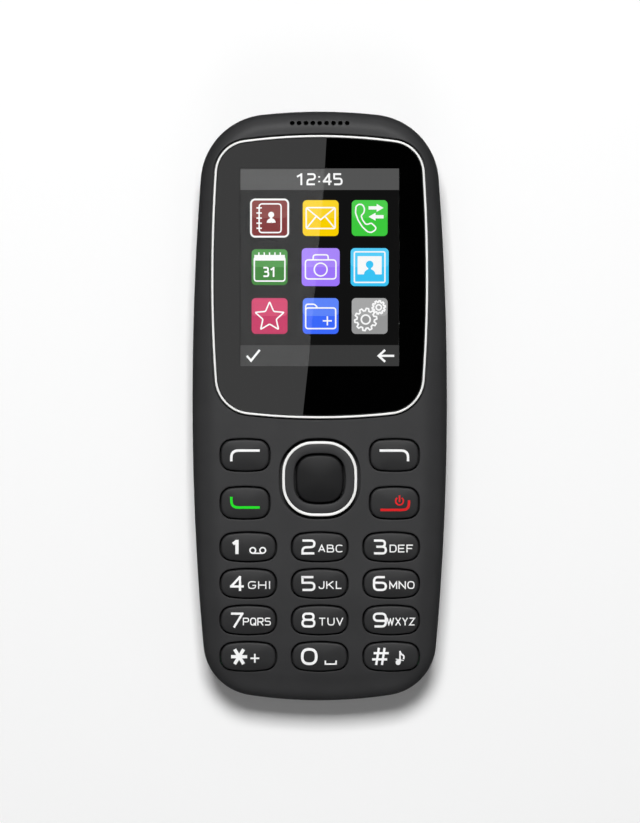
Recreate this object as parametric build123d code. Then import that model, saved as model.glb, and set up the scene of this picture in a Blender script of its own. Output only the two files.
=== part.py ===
"""A bar-shaped feature phone with a keypad, lying on its back.

X runs across the phone, Y from the chin to the earpiece, Z out of the display. The origin is the
middle of the flat back. All lengths are millimetres.

The phone comes apart as the real one does. The rear cover pulls off the back and the battery lifts
out of its bay. Six screws join the rear housing to the front housing. Between the two lie the main
board with its parts, the display, the silicone key mat and the keys.
"""

import math
import os

from build123d import *

# Body outline: side, shoulder and end arcs that touch, different above and below the widest line
body_length = 110.0
body_width = 47.5
widest_line_y = 1.1
top_side_radius = 559.0
top_shoulder_radius = 12.9
top_end_radius = 97.7
bottom_side_radius = 516.0
bottom_shoulder_radius = 10.1
bottom_end_radius = 86.3

# Body section: the back lies at zero, the rear cover meets the front housing at the parting line
front_z = 13.2
parting_z = 4.4
front_edge_cut = 2.3
front_edge_ease = 1.0
back_edge_cut = 2.4
chin_length = 18.6
chin_fall = 0.8
housing_wall = 1.4
inner_bevel = 0.8
cover_wall = 1.1
cover_bevel = 2.0
parting_gap = 0.15
seat_gap = 0.05
overrun = 5.0
small_sides = 6

# Display window and the white trim around it
window_half_width = 20.3
window_widest_y = 23.4
window_top_reach = 27.2
window_bottom_reach = 25.8
window_top_side_radius = 317.0
window_top_shoulder_radius = 6.4
window_top_end_radius = 104.0
window_bottom_side_radius = 260.0
window_bottom_shoulder_radius = 7.0
window_bottom_end_radius = 122.0
trim_width = 0.5
trim_proud = 0.1
trim_groove = 0.2
window_proud = 0.05
window_thickness = 1.2
window_gap = 0.06
bed_thickness = 0.9
bed_rim = 1.2

# Display
display_y = 25.9
picture_width = 29.6
picture_height = 36.8
opening_margin = 0.6
glass_margin = 1.1
glass_ledge = 3.0
glass_thickness = 1.1
glass_gap = 0.1
frame_rim = 0.8
frame_floor = 0.6
frame_height = 1.5
frame_corner = 0.8
gasket_width = 1.0
gasket_thickness = 0.15
flex_width = 12.0
flex_thickness = 0.15
flex_run = 4.4
flex_gap = 0.15
plug_length = 2.2
plug_height = 0.9

# Earpiece
ear_hole_count = 9
ear_hole_pitch = 1.28
ear_hole_radius = 0.4
ear_hole_y = 52.7
ear_width = 12.0
ear_depth = 4.6
ear_height = 1.6
ear_corner = 1.6
ear_y = 50.2
ear_mesh_depth = 1.2
ear_mesh_thickness = 0.15
ear_mesh_gap = 0.1

# Keys: the openings in the front housing, and what stands in them
key_gap = 0.25
key_proud = 0.5
key_crown_radius = 24.0
key_travel = 0.35
key_flange = 0.6
flange_reach = 0.35
flange_inset = 1.9
flange_gap = 0.1
number_key_width = 10.75
number_key_height = 5.8
number_key_radii = (5.2, 2.3, 22.0)
number_column_pitch = 13.3
number_row_pitch = 6.8
number_first_row_y = -26.2
side_key_width = 9.5
side_key_height = 6.3
side_key_radii = (9.0, 2.3, 24.0)
side_key_column = 13.9
soft_key_row_y = -9.1
call_key_row_y = -18.0

# Navigation ring, its white trim, the silicone rocker under it and the select key inside it
nav_y = -13.5
nav_half = 7.55
nav_radii = (30.0, 6.3, 30.0)
nav_gap = 0.5
nav_proud = 0.35
nav_plate = 1.3
nav_rim = 1.2
nav_flange_reach = 0.35
nav_flange_thickness = 0.45
nav_flange_width = 6.0
nav_trim_width = 0.65
nav_trim_depth = 0.6
rocker_gap = 0.35
rocker_thickness = 0.3
rocker_ridge_width = 2.0
rocker_ridge_height = 0.3
rocker_corner = 3.6
select_half = 4.45
select_radii = (14.0, 3.0, 14.0)
select_gap = 0.3
select_sink = 0.05
select_flange_reach = 0.95
select_flange_thickness = 0.8
select_flange_width = 4.0
select_bevel = 0.4

# Key mat, domes and key lamps
mat_margin = 4.25
mat_corner = 3.6
mat_end = 5.8
mat_high_y = -5.3
mat_thickness = 0.4
mat_boss_inset = 1.3
nub_half_width = 0.7
nub_drop = 0.1
nub_gap = 0.05
nav_dome_place = 6.4
dome_radius = 1.8
dome_height = 0.2
sheet_thickness = 0.1
lamp_size = (1.6, 0.8, 0.2)
lamp_hole_gap = 0.2

# Main board
board_z = 8.2
board_thickness = 0.8
board_inset = 2.1
board_hole_gap = 0.3

# Rear housing
rear_gap = 0.15
rear_bevel = 1.6
rear_wall = 1.2
rear_back_wall = 1.0
bay_floor = 0.8

# Battery, its cap and its contacts
battery_width = 34.0
battery_length = 53.0
battery_thickness = 5.2
battery_corner = 1.0
battery_gap = 0.3
bay_roof_gap = 0.2
bay_bottom_y = -36.6
cap_length = 3.2
cap_step = 0.1
contact_size = (1.6, 0.1, 2.6)
contact_pitch = 3.0
contact_count = 3
connector_width = 10.0
connector_depth = 3.2
connector_low_z = 3.4
connector_gap = 0.2
spring_width = 0.9
spring_height = 1.6
spring_reach = 0.35

# Card sockets in the floor of the battery bay
sim_size = (15.4, 13.0)
memory_size = (12.4, 11.6)
socket_sink = 0.1
socket_wall = 0.2
socket_base = 0.3
socket_side = 1.1
socket_stop = 1.6
sim_column = 8.6
sim_y = 4.0
memory_y = -15.0
window_margin = 0.35

# Screws and their bosses
boss_radius = 1.4
pilot_radius = 0.62
pilot_run = 0.4
screw_radius = 0.6
screw_hole_radius = 0.85
screw_length = 7.1
head_radius = 1.15
head_thickness = 0.8
head_seat_z = 3.2
head_gap = 0.1
top_screw = (15.8, 49.0)
middle_screw = (20.0, -3.3)
bottom_screw = (9.2, -51.5)

# Headphone socket in the top end
jack_x = -10.0
jack_z = 6.85
jack_bore_radius = 1.8
jack_bore_depth = 13.0
jack_nose_radius = 2.15
jack_nose_length = 1.9
jack_nose_gap = 0.1
jack_recess = 0.25
jack_width = 6.2
jack_length = 13.2
jack_wall = 0.3

# Charging socket in the chin
usb_width = 7.5
usb_height = 2.6
usb_length = 5.6
usb_wall = 0.25
usb_bevel = 0.7
usb_recess = 0.3
usb_gap = 0.2
usb_back_wall = 0.8
tongue_width = 3.8
tongue_thickness = 0.6
tongue_recess = 0.9

# Microphone in the chin
microphone_x = 13.2
microphone_size = (3.8, 3.0, 1.1)
microphone_y = -48.6
microphone_hole_radius = 0.5

# Loudspeaker at the back of the chin
speaker_width = 15.0
speaker_height = 10.6
speaker_depth = 2.8
speaker_corner = 2.0
speaker_y = -44.0
speaker_gap = 0.2
speaker_ledge = 0.9
fence_wall = 1.0
fence_height = 1.4
speaker_mesh_thickness = 0.15
slot_count = 5
slot_pitch = 1.9
slot_width = 0.9
slot_length = 10.0

# Camera in the back
camera_y = 42.0
camera_base = 8.4
camera_base_height = 3.75
camera_barrel_radius = 2.7
camera_barrel_length = 2.0
ring_radius = 4.6
ring_gap = 0.2
ring_recess = 0.35
glass_radius = 3.8
glass_seat_gap = 0.05
camera_glass_thickness = 0.7
camera_glass_sink = 0.15
barrel_gap = 0.25

# Vibration motor with its off-centre weight
motor_x = 7.0
motor_y = 30.0
motor_z = 5.55
motor_radius = 2.0
motor_length = 7.0
shaft_radius = 0.5
weight_radius = 2.2
weight_length = 2.6
weight_gap = 0.5
cradle_wall = 1.0
cradle_length = 5.0

# Shield can over the radio
shield_x = -8.4
shield_y = 29.4
shield_width = 17.0
shield_length = 15.0
shield_height = 1.9
shield_wall = 0.2

# Aerial on the rear housing
aerial_width = 19.0
aerial_height = 2.6
aerial_thickness = 0.1
aerial_y = 49.4

# Rear cover catches and the notch that a fingernail pulls
catch_width = 5.0
catch_depth = 0.3
catch_height = 0.8
catch_drop = 1.0
catch_places = (32.0, -22.0)
notch_radius = 6.0
notch_depth = 0.8
notch_height = 0.9


class Outline:
    """A closed outline of arcs that touch: two sides, two ends and four shoulders.

    Radii are (side, shoulder, end). An inset makes the parallel outline inside it, which keeps
    every centre and shortens every radius.
    """

    def __init__(self, half_width, top_reach, bottom_reach, top_radii, bottom_radii, x=0, y=0):
        self.half_width = half_width
        self.reaches = (top_reach, bottom_reach)
        self.radii = (top_radii, bottom_radii)
        self.x = x
        self.y = y

    def half(self, end):
        """Centres and meeting angles of one end's arcs, as if it pointed to +Y on the right."""
        side, shoulder, tip = self.radii[end]
        side_x = self.half_width - side
        tip_y = self.reaches[end] - tip
        gap = math.hypot(side_x, tip_y)
        to_side = side - shoulder
        to_tip = tip - shoulder
        along = (to_side**2 - to_tip**2 + gap**2) / (2 * gap)
        across = math.sqrt(to_side**2 - along**2)
        shoulder_x = side_x + (across * -tip_y - along * side_x) / gap
        shoulder_y = (along * tip_y - across * side_x) / gap
        side_angle = math.degrees(math.atan2(shoulder_y, shoulder_x - side_x))
        tip_angle = math.degrees(math.atan2(shoulder_y - tip_y, shoulder_x))
        return side_x, tip_y, shoulder_x, shoulder_y, side_angle, tip_angle

    def wire(self, inset=0):
        """The outline's arcs, anticlockwise from the right-hand side."""
        side_x, tip_y, x, y, a, b = self.half(0)
        low_side_x, low_tip_y, low_x, low_y, low_a, low_b = self.half(1)
        (side, shoulder, tip), (low_side, low_shoulder, low_tip) = self.radii
        turn = 180
        arcs = [
            (low_side_x, 0, low_side, -low_a, low_a),
            (side_x, 0, side, 0, a),
            (x, y, shoulder, a, b - a),
            (0, tip_y, tip, b, turn - 2 * b),
            (-x, y, shoulder, turn - b, b - a),
            (-side_x, 0, side, turn - a, a),
            (-low_side_x, 0, low_side, turn, low_a),
            (-low_x, -low_y, low_shoulder, turn + low_a, low_b - low_a),
            (0, -low_tip_y, low_tip, turn + low_b, turn - 2 * low_b),
            (low_x, -low_y, low_shoulder, -low_b, low_b - low_a),
        ]
        return Wire(
            [
                CenterArc((self.x + x, self.y + y), radius - inset, start, size)
                for x, y, radius, start, size in arcs
            ]
        )

    def prism(self, inset, low_z, high_z):
        """The solid between two heights whose walls follow the outline."""
        face = Pos(0, 0, low_z) * Face(self.wire(inset))
        return extrude(face, high_z - low_z, dir=(0, 0, 1))


def even_outline(width, height, radii, x, y):
    """An outline with the same arcs above and below its middle."""
    return Outline(width / 2, height / 2, height / 2, radii, radii, x, y)


def block(x_size, y_size, low_z, high_z, x=0, y=0):
    """A box given by its size in plan, its two heights and its centre in plan."""
    lowest = (Align.CENTER, Align.CENTER, Align.MIN)
    return Pos(x, y, low_z) * Box(x_size, y_size, high_z - low_z, align=lowest)


def cut_block(x_size, y_size, low_z, high_z, corner, x=0, y=0):
    """A block with its four upright edges cut off."""
    solid = block(x_size, y_size, low_z, high_z, x, y)
    return chamfer(solid.edges().filter_by(Axis.Z), corner)


def post(radius, low_z, high_z, x=0, y=0):
    """An upright cylinder between two heights."""
    lowest = (Align.CENTER, Align.CENTER, Align.MIN)
    return Pos(x, y, low_z) * Cylinder(radius, high_z - low_z, align=lowest)


def stud(radius, low_z, high_z, x=0, y=0, sides=8):
    """An upright post with flat sides, for what is small or out of sight and repeats."""
    plan = Pos(x, y, low_z) * RegularPolygon(radius, sides, major_radius=False)
    return extrude(plan, high_z - low_z, dir=(0, 0, 1))


def rod_along_y(radius, low_y, high_y, x, z):
    """A cylinder that runs along Y between two places."""
    lowest = (Align.CENTER, Align.CENTER, Align.MIN)
    turned = Pos(x, low_y, z) * Rot(-90, 0, 0)
    return turned * Cylinder(radius, high_y - low_y, align=lowest)


def rod_along_x(radius, low_x, high_x, y, z):
    """A cylinder that runs along X between two places."""
    lowest = (Align.CENTER, Align.CENTER, Align.MIN)
    turned = Pos(low_x, y, z) * Rot(0, 90, 0)
    return turned * Cylinder(radius, high_x - low_x, align=lowest)


def row(count, pitch):
    """Places of a centred row."""
    return [(index - (count - 1) / 2) * pitch for index in range(count)]


# Outlines that several pieces share
body = Outline(
    body_width / 2,
    body_length / 2 - widest_line_y,
    body_length / 2 + widest_line_y,
    (top_side_radius, top_shoulder_radius, top_end_radius),
    (bottom_side_radius, bottom_shoulder_radius, bottom_end_radius),
    y=widest_line_y,
)
window = Outline(
    window_half_width,
    window_top_reach,
    window_bottom_reach,
    (window_top_side_radius, window_top_shoulder_radius, window_top_end_radius),
    (window_bottom_side_radius, window_bottom_shoulder_radius, window_bottom_end_radius),
    y=window_widest_y,
)
nav = even_outline(2 * nav_half, 2 * nav_half, nav_radii, 0, nav_y)
select = even_outline(2 * select_half, 2 * select_half, select_radii, 0, nav_y)

# Heights that several pieces share, from the front inwards
ceiling_z = front_z - housing_wall
window_top_z = front_z + window_proud
window_low_z = window_top_z - window_thickness
bed_top_z = window_low_z - seat_gap
bed_low_z = bed_top_z - bed_thickness
board_top_z = board_z + board_thickness
on_board_z = board_top_z + seat_gap
under_board_z = board_z - seat_gap
dome_top_z = on_board_z + sheet_thickness + dome_height
mat_low_z = dome_top_z + nub_gap + nub_drop
mat_top_z = mat_low_z + mat_thickness
rocker_low_z = mat_top_z + rocker_gap
rocker_top_z = rocker_low_z + rocker_thickness + rocker_ridge_height
ring_low_z = rocker_top_z + seat_gap
ring_top_z = front_z + nav_proud

# Sizes of the rear housing and of its bay, which the battery sets
rear_inset = housing_wall + rear_gap
rear_floor_z = rear_inset + rear_back_wall
battery_z = cover_wall + battery_gap
battery_top_z = battery_z + battery_thickness
bay_roof_z = battery_top_z + bay_roof_gap
bay_width = battery_width + 2 * battery_gap
bay_length = battery_length + 2 * battery_gap
bay_top_y = bay_bottom_y + bay_length
bay_y = bay_bottom_y + bay_length / 2
battery_top_y = bay_top_y - battery_gap

# Display module, which reaches further down than up because of the glass's ledge
glass_width = picture_width + 2 * glass_margin
glass_height = picture_height + 2 * glass_margin + glass_ledge
glass_y = display_y - glass_ledge / 2
frame_width = glass_width + 2 * (glass_gap + frame_rim)
frame_length = glass_height + 2 * (glass_gap + frame_rim)
frame_low_y = glass_y - frame_length / 2
glass_z = on_board_z + frame_floor + seat_gap
glass_top_z = glass_z + glass_thickness

screw_places = [
    (side * x, y) for x, y in (top_screw, middle_screw, bottom_screw) for side in (-1, 1)
]


def end_y(end, x):
    """Where the body's outline crosses a place near the middle of its top or bottom end."""
    radius = body.radii[end][2]
    reach = body.reaches[end] - radius + math.sqrt(radius**2 - x**2)
    return widest_line_y + (reach if end == 0 else -reach)


def front_drop(y):
    """How far the front has fallen at a place along the chin."""
    return max(chin_length - body_length / 2 - y, 0) * chin_fall / chin_length


def side_profile(inset):
    """Everything under the front's side view, level and then sloping down over the chin."""
    start_y = chin_length - body_length / 2
    low_y = -body_length / 2 - overrun
    high_y = body_length / 2 + overrun
    top_z = front_z - inset
    corners = [
        (start_y, top_z),
        (high_y, top_z),
        (high_y, parting_z),
        (low_y, parting_z),
        (low_y, top_z - front_drop(low_y)),
    ]
    view = Polyline(*corners, close=True)
    return extrude(Plane.YZ.offset(-body_width) * make_face(view), 2 * body_width, dir=(1, 0, 0))


def bevel_rim(solid, low_z, high_z, cuts):
    """Bevels the rim between two heights, then the edges that each bevel leaves there."""
    for cut in cuts:
        rim = [
            edge
            for edge in solid.edges()
            if low_z < edge.center().Z < high_z and edge.geom_type != GeomType.LINE
        ]
        solid = chamfer(rim, cut)
    return solid


def front_form(inset, cuts):
    """The front half's form, or the form inside its wall, with its upper rim bevelled."""
    solid = body.prism(inset, parting_z, front_z) & side_profile(inset)
    return bevel_rim(solid, (parting_z + front_z) / 2, front_z + overrun, cuts)


def back_form(inset, top_z, cuts):
    """The back half's form, or a form inside it, with its lower rim bevelled."""
    solid = body.prism(inset, inset, top_z)
    return bevel_rim(solid, -overrun, top_z - seat_gap, cuts)


def number_keys():
    """Names and outlines of the twelve number keys' openings."""
    names = ["1", "2", "3", "4", "5", "6", "7", "8", "9", "star", "0", "hash"]
    keys = {}
    for index, name in enumerate(names):
        line, column = divmod(index, 3)
        x = (column - 1) * number_column_pitch
        y = number_first_row_y - line * number_row_pitch
        keys["key_" + name] = even_outline(
            number_key_width, number_key_height, number_key_radii, x, y
        )
    return keys


def side_keys():
    """Names and outlines of the four keys' openings beside the navigation ring."""
    places = {
        "soft_key_left": (-side_key_column, soft_key_row_y),
        "soft_key_right": (side_key_column, soft_key_row_y),
        "call_key": (-side_key_column, call_key_row_y),
        "end_key": (side_key_column, call_key_row_y),
    }
    return {
        name: even_outline(side_key_width, side_key_height, side_key_radii, x, y)
        for name, (x, y) in places.items()
    }


keys = {**side_keys(), **number_keys()}


def key_foot_z(outline):
    """Height of a key's foot, which its flange and the curving ceiling set."""
    lowest_y = outline.y - outline.reaches[1] - flange_reach
    return ceiling_z - front_drop(lowest_y) - flange_gap - key_flange


def make_key(outline):
    """One key: a stem that fills its opening, a crowned top and a flange that keeps it in."""
    foot_z = key_foot_z(outline)
    top_z = front_z - front_drop(outline.y) + key_proud
    crown = rod_along_x(
        key_crown_radius, -body_width, body_width, outline.y, top_z - key_crown_radius
    )
    stem = outline.prism(key_gap, foot_z, top_z + seat_gap) & crown
    width = 2 * (outline.half_width - flange_inset)
    height = 2 * (outline.reaches[0] + flange_reach)
    return stem + block(width, height, foot_z, foot_z + key_flange, outline.x, outline.y)


def rim_hole(low_z, high_z):
    """The room inside the ring's rim, where the middle key's tabs move."""
    size = 2 * (nav_half - nav_gap - nav_rim)
    return cut_block(size, size, low_z, high_z, rocker_corner - nav_rim, 0, nav_y)


def make_nav_ring():
    """The rocking ring: a plate in the opening, a rim under it and four tabs that keep it in."""
    step_z = ring_top_z - nav_trim_depth
    ring = nav.prism(nav_gap, ring_low_z, step_z)
    ring += nav.prism(nav_gap + nav_trim_width + seat_gap, step_z, ring_top_z)
    reach = 2 * (nav_half + nav_flange_reach)
    tab_z = ring_low_z + nav_flange_thickness
    for width, height in ((reach, nav_flange_width), (nav_flange_width, reach)):
        ring += block(width, height, ring_low_z, tab_z, 0, nav_y)
    ring -= rim_hole(0, ring_top_z - nav_plate)
    return ring - select.prism(-select_gap, 0, ring_top_z + overrun)


def make_nav_trim():
    """The white line round the navigation ring."""
    low_z = ring_top_z - nav_trim_depth + seat_gap
    high_z = ring_top_z + seat_gap
    trim = nav.prism(nav_gap, low_z, high_z)
    return trim - nav.prism(nav_gap + nav_trim_width, 0, high_z + overrun)


def make_rocker():
    """The silicone rocker: it tilts up and down on the mat, and its ridge lets the ring tilt
    left and right."""
    plate_z = rocker_low_z + rocker_thickness
    size = 2 * (nav_half + nav_flange_reach)
    rocker = cut_block(size, size, rocker_low_z, plate_z, rocker_corner, 0, nav_y)
    rocker += block(rocker_ridge_width, size, rocker_low_z, rocker_top_z, 0, nav_y)
    return rocker - rim_hole(0, front_z)


def make_select_key():
    """The middle key, whose four tabs are caught under the ring's plate."""
    key = select.prism(0, ring_low_z, ring_top_z - select_sink)
    key = chamfer(key.faces().sort_by(Axis.Z)[-1].edges(), select_bevel)
    reach = 2 * (select_half + select_flange_reach)
    tab_z = ring_low_z + select_flange_thickness
    for width, height in ((reach, select_flange_width), (select_flange_width, reach)):
        key += block(width, height, ring_low_z, tab_z, 0, nav_y)
    return key


def nav_dome_places():
    """Places of the domes under the ring's four directions."""
    reach = nav_dome_place
    return [(reach, nav_y), (-reach, nav_y), (0, nav_y + reach), (0, nav_y - reach)]


def dome_places():
    """Places of every dome on the board."""
    return [(key.x, key.y) for key in keys.values()] + [(0, nav_y)] + nav_dome_places()


def mat_block(low_z, high_z):
    """A block over the key field, with the mat's outline."""
    low_y = mat_end - body_length / 2
    width = body_width - 2 * mat_margin
    y = (mat_high_y + low_y) / 2
    return cut_block(width, mat_high_y - low_y, low_z, high_z, mat_corner, 0, y)


def make_dome_sheet():
    """The clear sheet that holds the snap domes on the board."""
    top_z = on_board_z + sheet_thickness
    sheet = mat_block(on_board_z, top_z)
    for x, y in dome_places():
        sheet += stud(dome_radius, top_z, top_z + dome_height, x, y, small_sides)
    for x, y in lamp_places():
        room = 2 * lamp_hole_gap
        sheet -= block(lamp_size[0] + room, lamp_size[1] + room, 0, front_z, x, y)
    return sheet


def make_key_mat():
    """The silicone mat: a web, a boss under each key and a nub over each dome."""
    web = mat_block(mat_low_z, mat_top_z)
    for key in keys.values():
        width = 2 * (key.half_width - flange_inset)
        height = 2 * (key.reaches[0] - mat_boss_inset)
        top_z = key_foot_z(key) - key_travel - seat_gap
        web += block(width, height, mat_low_z, top_z, key.x, key.y)
    middle = 2 * (select_half - mat_boss_inset)
    web += block(middle, middle, mat_low_z, ring_low_z - key_travel - seat_gap, 0, nav_y)
    rim = nav_half - nav_gap - nav_rim / 2
    for side in (-1, 1):
        foot_z = rocker_low_z - seat_gap
        web += block(nav_rim, nav_rim, mat_low_z, foot_z, side * rim, nav_y)
    for x, y in dome_places():
        size = 2 * nub_half_width
        web += block(size, size, mat_low_z - nub_drop, mat_low_z, x, y)
    return web


def lamp_places():
    """Places of the lamps that light the keys, between the columns."""
    places = []
    for x in row(2, number_column_pitch):
        for line in range(3):
            places.append((x, number_first_row_y - (2 * line + 1) * number_row_pitch / 2))
    return places


def make_key_lamps():
    """Six small lamps on the board."""
    width, depth, height = lamp_size
    return Compound(
        children=[
            block(width, depth, on_board_z, on_board_z + height, x, y) for x, y in lamp_places()
        ]
    )


def make_window_trim():
    """The white line round the display window."""
    low_z = bed_top_z + seat_gap
    trim = window.prism(0, low_z, front_z + trim_proud)
    return trim - window.prism(trim_width, 0, front_z + overrun)


def make_window_lens():
    """The clear window."""
    return window.prism(trim_width + window_gap, window_low_z, window_top_z)


def picture_block(margin, low_z, high_z):
    """A block over the picture, larger by a margin all round."""
    width = picture_width + 2 * margin
    return block(width, picture_height + 2 * margin, low_z, high_z, y=display_y)


def make_display_panel():
    """The display's glass sandwich."""
    return block(glass_width, glass_height, glass_z, glass_top_z, y=glass_y)


def make_display_frame():
    """The tray that holds the glass, with a notch for the flex."""
    top_z = on_board_z + frame_height
    tray = cut_block(
        frame_width, frame_length, on_board_z, top_z, frame_corner, y=glass_y
    )
    room = 2 * glass_gap
    tray -= block(
        glass_width + room, glass_height + room, glass_z - seat_gap, front_z, y=glass_y
    )
    notch_width = flex_width + 2 * flex_gap
    return tray - block(notch_width, 2 * frame_rim, glass_z - flex_gap, front_z, y=frame_low_y)


def make_display_gasket():
    """The foam frame between the glass and the housing."""
    top_z = bed_low_z - seat_gap
    low_z = top_z - gasket_thickness
    inner = opening_margin
    gasket = picture_block(inner + gasket_width, low_z, top_z)
    return gasket - picture_block(inner, 0, front_z)


def make_display_flex():
    """The display's flex, from the glass's ledge down to its plug on the board."""
    start_y = glass_y - glass_height / 2 - flex_gap
    high_z = glass_z + flex_gap
    low_z = on_board_z + plug_height / 2
    bend_y = frame_low_y - flex_gap - flex_thickness
    end = start_y - flex_run
    middle = (bend_y + end) / 2
    view = Plane.YZ.offset(-flex_width / 2) * trace(
        Polyline((start_y, high_z), (bend_y, high_z), (middle, low_z), (end, low_z)),
        line_width=flex_thickness,
    )
    strip = extrude(view, flex_width, dir=(1, 0, 0))
    plug_y = end - plug_length / 2 + flex_thickness
    return strip + block(flex_width, plug_length, on_board_z, on_board_z + plug_height, y=plug_y)


def make_earpiece():
    """The earpiece capsule."""
    top_z = on_board_z + ear_height
    return cut_block(ear_width, ear_depth, on_board_z, top_z, ear_corner, y=ear_y)


def make_earpiece_mesh():
    """The dust mesh under the earpiece's holes."""
    low_z = on_board_z + ear_height + ear_mesh_gap
    high_z = low_z + ear_mesh_thickness
    return block(ear_width, ear_mesh_depth, low_z, high_z, y=ear_hole_y - ear_mesh_depth / 4)


def make_bed():
    """The bed that the window and its trim lie on, a plate as large as the window and its rim."""
    width = 2 * (window_half_width + bed_rim)
    length = window_top_reach + window_bottom_reach + 2 * bed_rim
    y = window_widest_y + (window_top_reach - window_bottom_reach) / 2
    return block(width, length, bed_low_z, bed_top_z, y=y)


def make_front_housing():
    """The front moulding: a shell with the window's bed, the keys' openings and screw bosses."""
    outer = front_form(0, (front_edge_cut, front_edge_ease))
    housing = outer - front_form(housing_wall, [inner_bevel])
    housing += make_bed() & outer
    for x, y in screw_places:
        boss = stud(boss_radius, board_z + seat_gap, front_z, x, y)
        housing += boss & outer
    housing -= window.prism(-trim_groove, bed_top_z, front_z + overrun)
    housing -= picture_block(opening_margin, 0, front_z)
    for key in keys.values():
        housing -= key.prism(0, board_top_z, front_z + overrun)
    housing -= nav.prism(0, board_top_z, front_z + overrun)
    for x in row(ear_hole_count, ear_hole_pitch):
        housing -= stud(
            ear_hole_radius, board_top_z, front_z + overrun, x, ear_hole_y, small_sides
        )
    pilot_top_z = head_seat_z + screw_length + pilot_run
    for x, y in screw_places:
        housing -= stud(pilot_radius, 0, pilot_top_z, x, y)
    return housing - front_sockets()


def front_sockets():
    """Holes in the front housing's wall for the sockets and the microphone."""
    radius = jack_nose_radius + jack_nose_gap
    top_y = body_length / 2
    holes = rod_along_y(radius, top_y - overrun, top_y + overrun, jack_x, jack_z)
    room = 2 * usb_gap
    low_z = under_board_z - usb_height - usb_gap
    holes += cut_block(
        usb_width + room, 2 * overrun, low_z, under_board_z + usb_gap, usb_gap, y=-top_y
    )
    mic_z = under_board_z - microphone_size[2] / 2
    return holes + rod_along_y(
        microphone_hole_radius, -top_y - overrun, microphone_y, microphone_x, mic_z
    )


def make_main_board():
    """The main board, cut back round the bosses and the headphone socket."""
    board = body.prism(board_inset, board_z, board_top_z)
    for x, y in screw_places:
        board -= stud(boss_radius + board_hole_gap, 0, front_z, x, y)
    width = jack_width + 2 * board_hole_gap
    back_y = jack_back_y() - board_hole_gap
    cut_length = body_length / 2 - back_y
    return board - block(width, cut_length, 0, front_z, jack_x, back_y + cut_length / 2)


def make_rear_housing():
    """The rear moulding: a tray round the battery bay, with seats for what the board carries."""
    top_z = under_board_z
    form = back_form(rear_inset, top_z, [rear_bevel])
    bay_box = block(bay_width + 2 * rear_wall, bay_length + 2 * rear_wall, 0, front_z, y=bay_y)
    cavity = body.prism(rear_inset + rear_wall, rear_floor_z, front_z) - bay_box
    housing = form - cavity + (rear_seats(top_z) & form)
    housing += post(ring_radius, ring_recess, camera_low_z() - seat_gap, y=camera_y)
    housing -= block(bay_width, bay_length, -overrun, bay_roof_z, y=bay_y)
    housing -= block(bay_width, bay_length, bay_roof_z + bay_floor, front_z, y=bay_y)
    housing -= bay_windows()
    for x, y in screw_places:
        housing -= stud(head_radius + head_gap, -overrun, head_seat_z, x, y)
        housing -= stud(screw_hole_radius, 0, front_z, x, y)
    housing -= stud(camera_barrel_radius + barrel_gap, -overrun, front_z, y=camera_y)
    seat_z = ring_recess + camera_glass_sink + camera_glass_thickness + seat_gap
    housing -= post(glass_radius + glass_seat_gap, -overrun, seat_z, y=camera_y)
    width = speaker_width - 2 * speaker_ledge
    height = speaker_height - 2 * speaker_ledge
    housing -= cut_block(
        width, height, 0, rear_floor_z, speaker_corner - speaker_ledge, y=speaker_y
    )
    return housing - rear_notches()


def rear_seats(top_z):
    """Screw posts, the motor's cradle and the loudspeaker's fence."""
    posts = [
        stud(head_radius + head_gap + rear_wall, rear_inset, top_z, x, y) for x, y in screw_places
    ]
    low_z = rear_inset + rear_back_wall / 2
    cradle = block(
        cradle_length, 2 * (motor_radius + cradle_wall), low_z, motor_z, motor_x, motor_y
    )
    radius = motor_radius + seat_gap
    cradle -= rod_along_x(radius, motor_x - overrun, motor_x + overrun, motor_y, motor_z)
    room = 2 * speaker_gap
    wall = 2 * fence_wall
    high_z = rear_floor_z + fence_height
    fence = block(
        speaker_width + room + wall, speaker_height + room + wall, low_z, high_z, y=speaker_y
    )
    fence -= cut_block(
        speaker_width + room,
        speaker_height + room,
        rear_floor_z,
        front_z,
        speaker_corner,
        y=speaker_y,
    )
    return cradle + posts + fence


def bay_windows():
    """Windows in the bay's roof for the card sockets, and in its end wall for the contacts."""
    room = 2 * window_margin
    windows = block(memory_size[0] + room, memory_size[1] + room, 0, front_z, y=memory_y)
    for x in (-sim_column, sim_column):
        windows += block(sim_size[0] + room, sim_size[1] + room, 0, front_z, x, sim_y)
    width = connector_width + 2 * connector_gap
    low_z = connector_low_z - connector_gap
    return windows + block(width, 2 * (rear_wall + connector_gap), low_z, front_z, y=bay_top_y)


def rear_notches():
    """Notches in the rear housing's end walls for the sockets and the microphone."""
    top_y = body_length / 2
    reach = 2 * overrun
    low_z = jack_z - jack_bore_radius - jack_wall - jack_nose_gap
    notches = block(jack_width + 2 * jack_nose_gap, reach, low_z, front_z, jack_x, top_y)
    width = usb_width + 2 * usb_gap
    low_z = under_board_z - usb_height - usb_gap
    notches += block(width, reach, low_z, front_z, y=-top_y)
    low_z = under_board_z - microphone_size[2]
    width = 2 * microphone_hole_radius
    return notches + block(width, reach, low_z, front_z, microphone_x, -top_y)


def make_rear_cover():
    """The rear cover: a shallow tray with catches, loudspeaker slots and the camera's hole."""
    top_z = parting_z - parting_gap
    cover = back_form(0, top_z, [back_edge_cut])
    cover -= back_form(cover_wall, front_z, [cover_bevel])
    cover -= post(ring_radius + ring_gap, -overrun, cover_wall + overrun, y=camera_y)
    for place in row(slot_count, slot_pitch):
        cover -= block(slot_length, slot_width, 0, cover_wall + overrun, 0, speaker_y + place)
    notch_y = body_length / 2 + notch_radius - notch_depth
    cover -= post(notch_radius, top_z - notch_height, top_z + overrun, y=notch_y)
    return cover + cover_catches(top_z)


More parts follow.
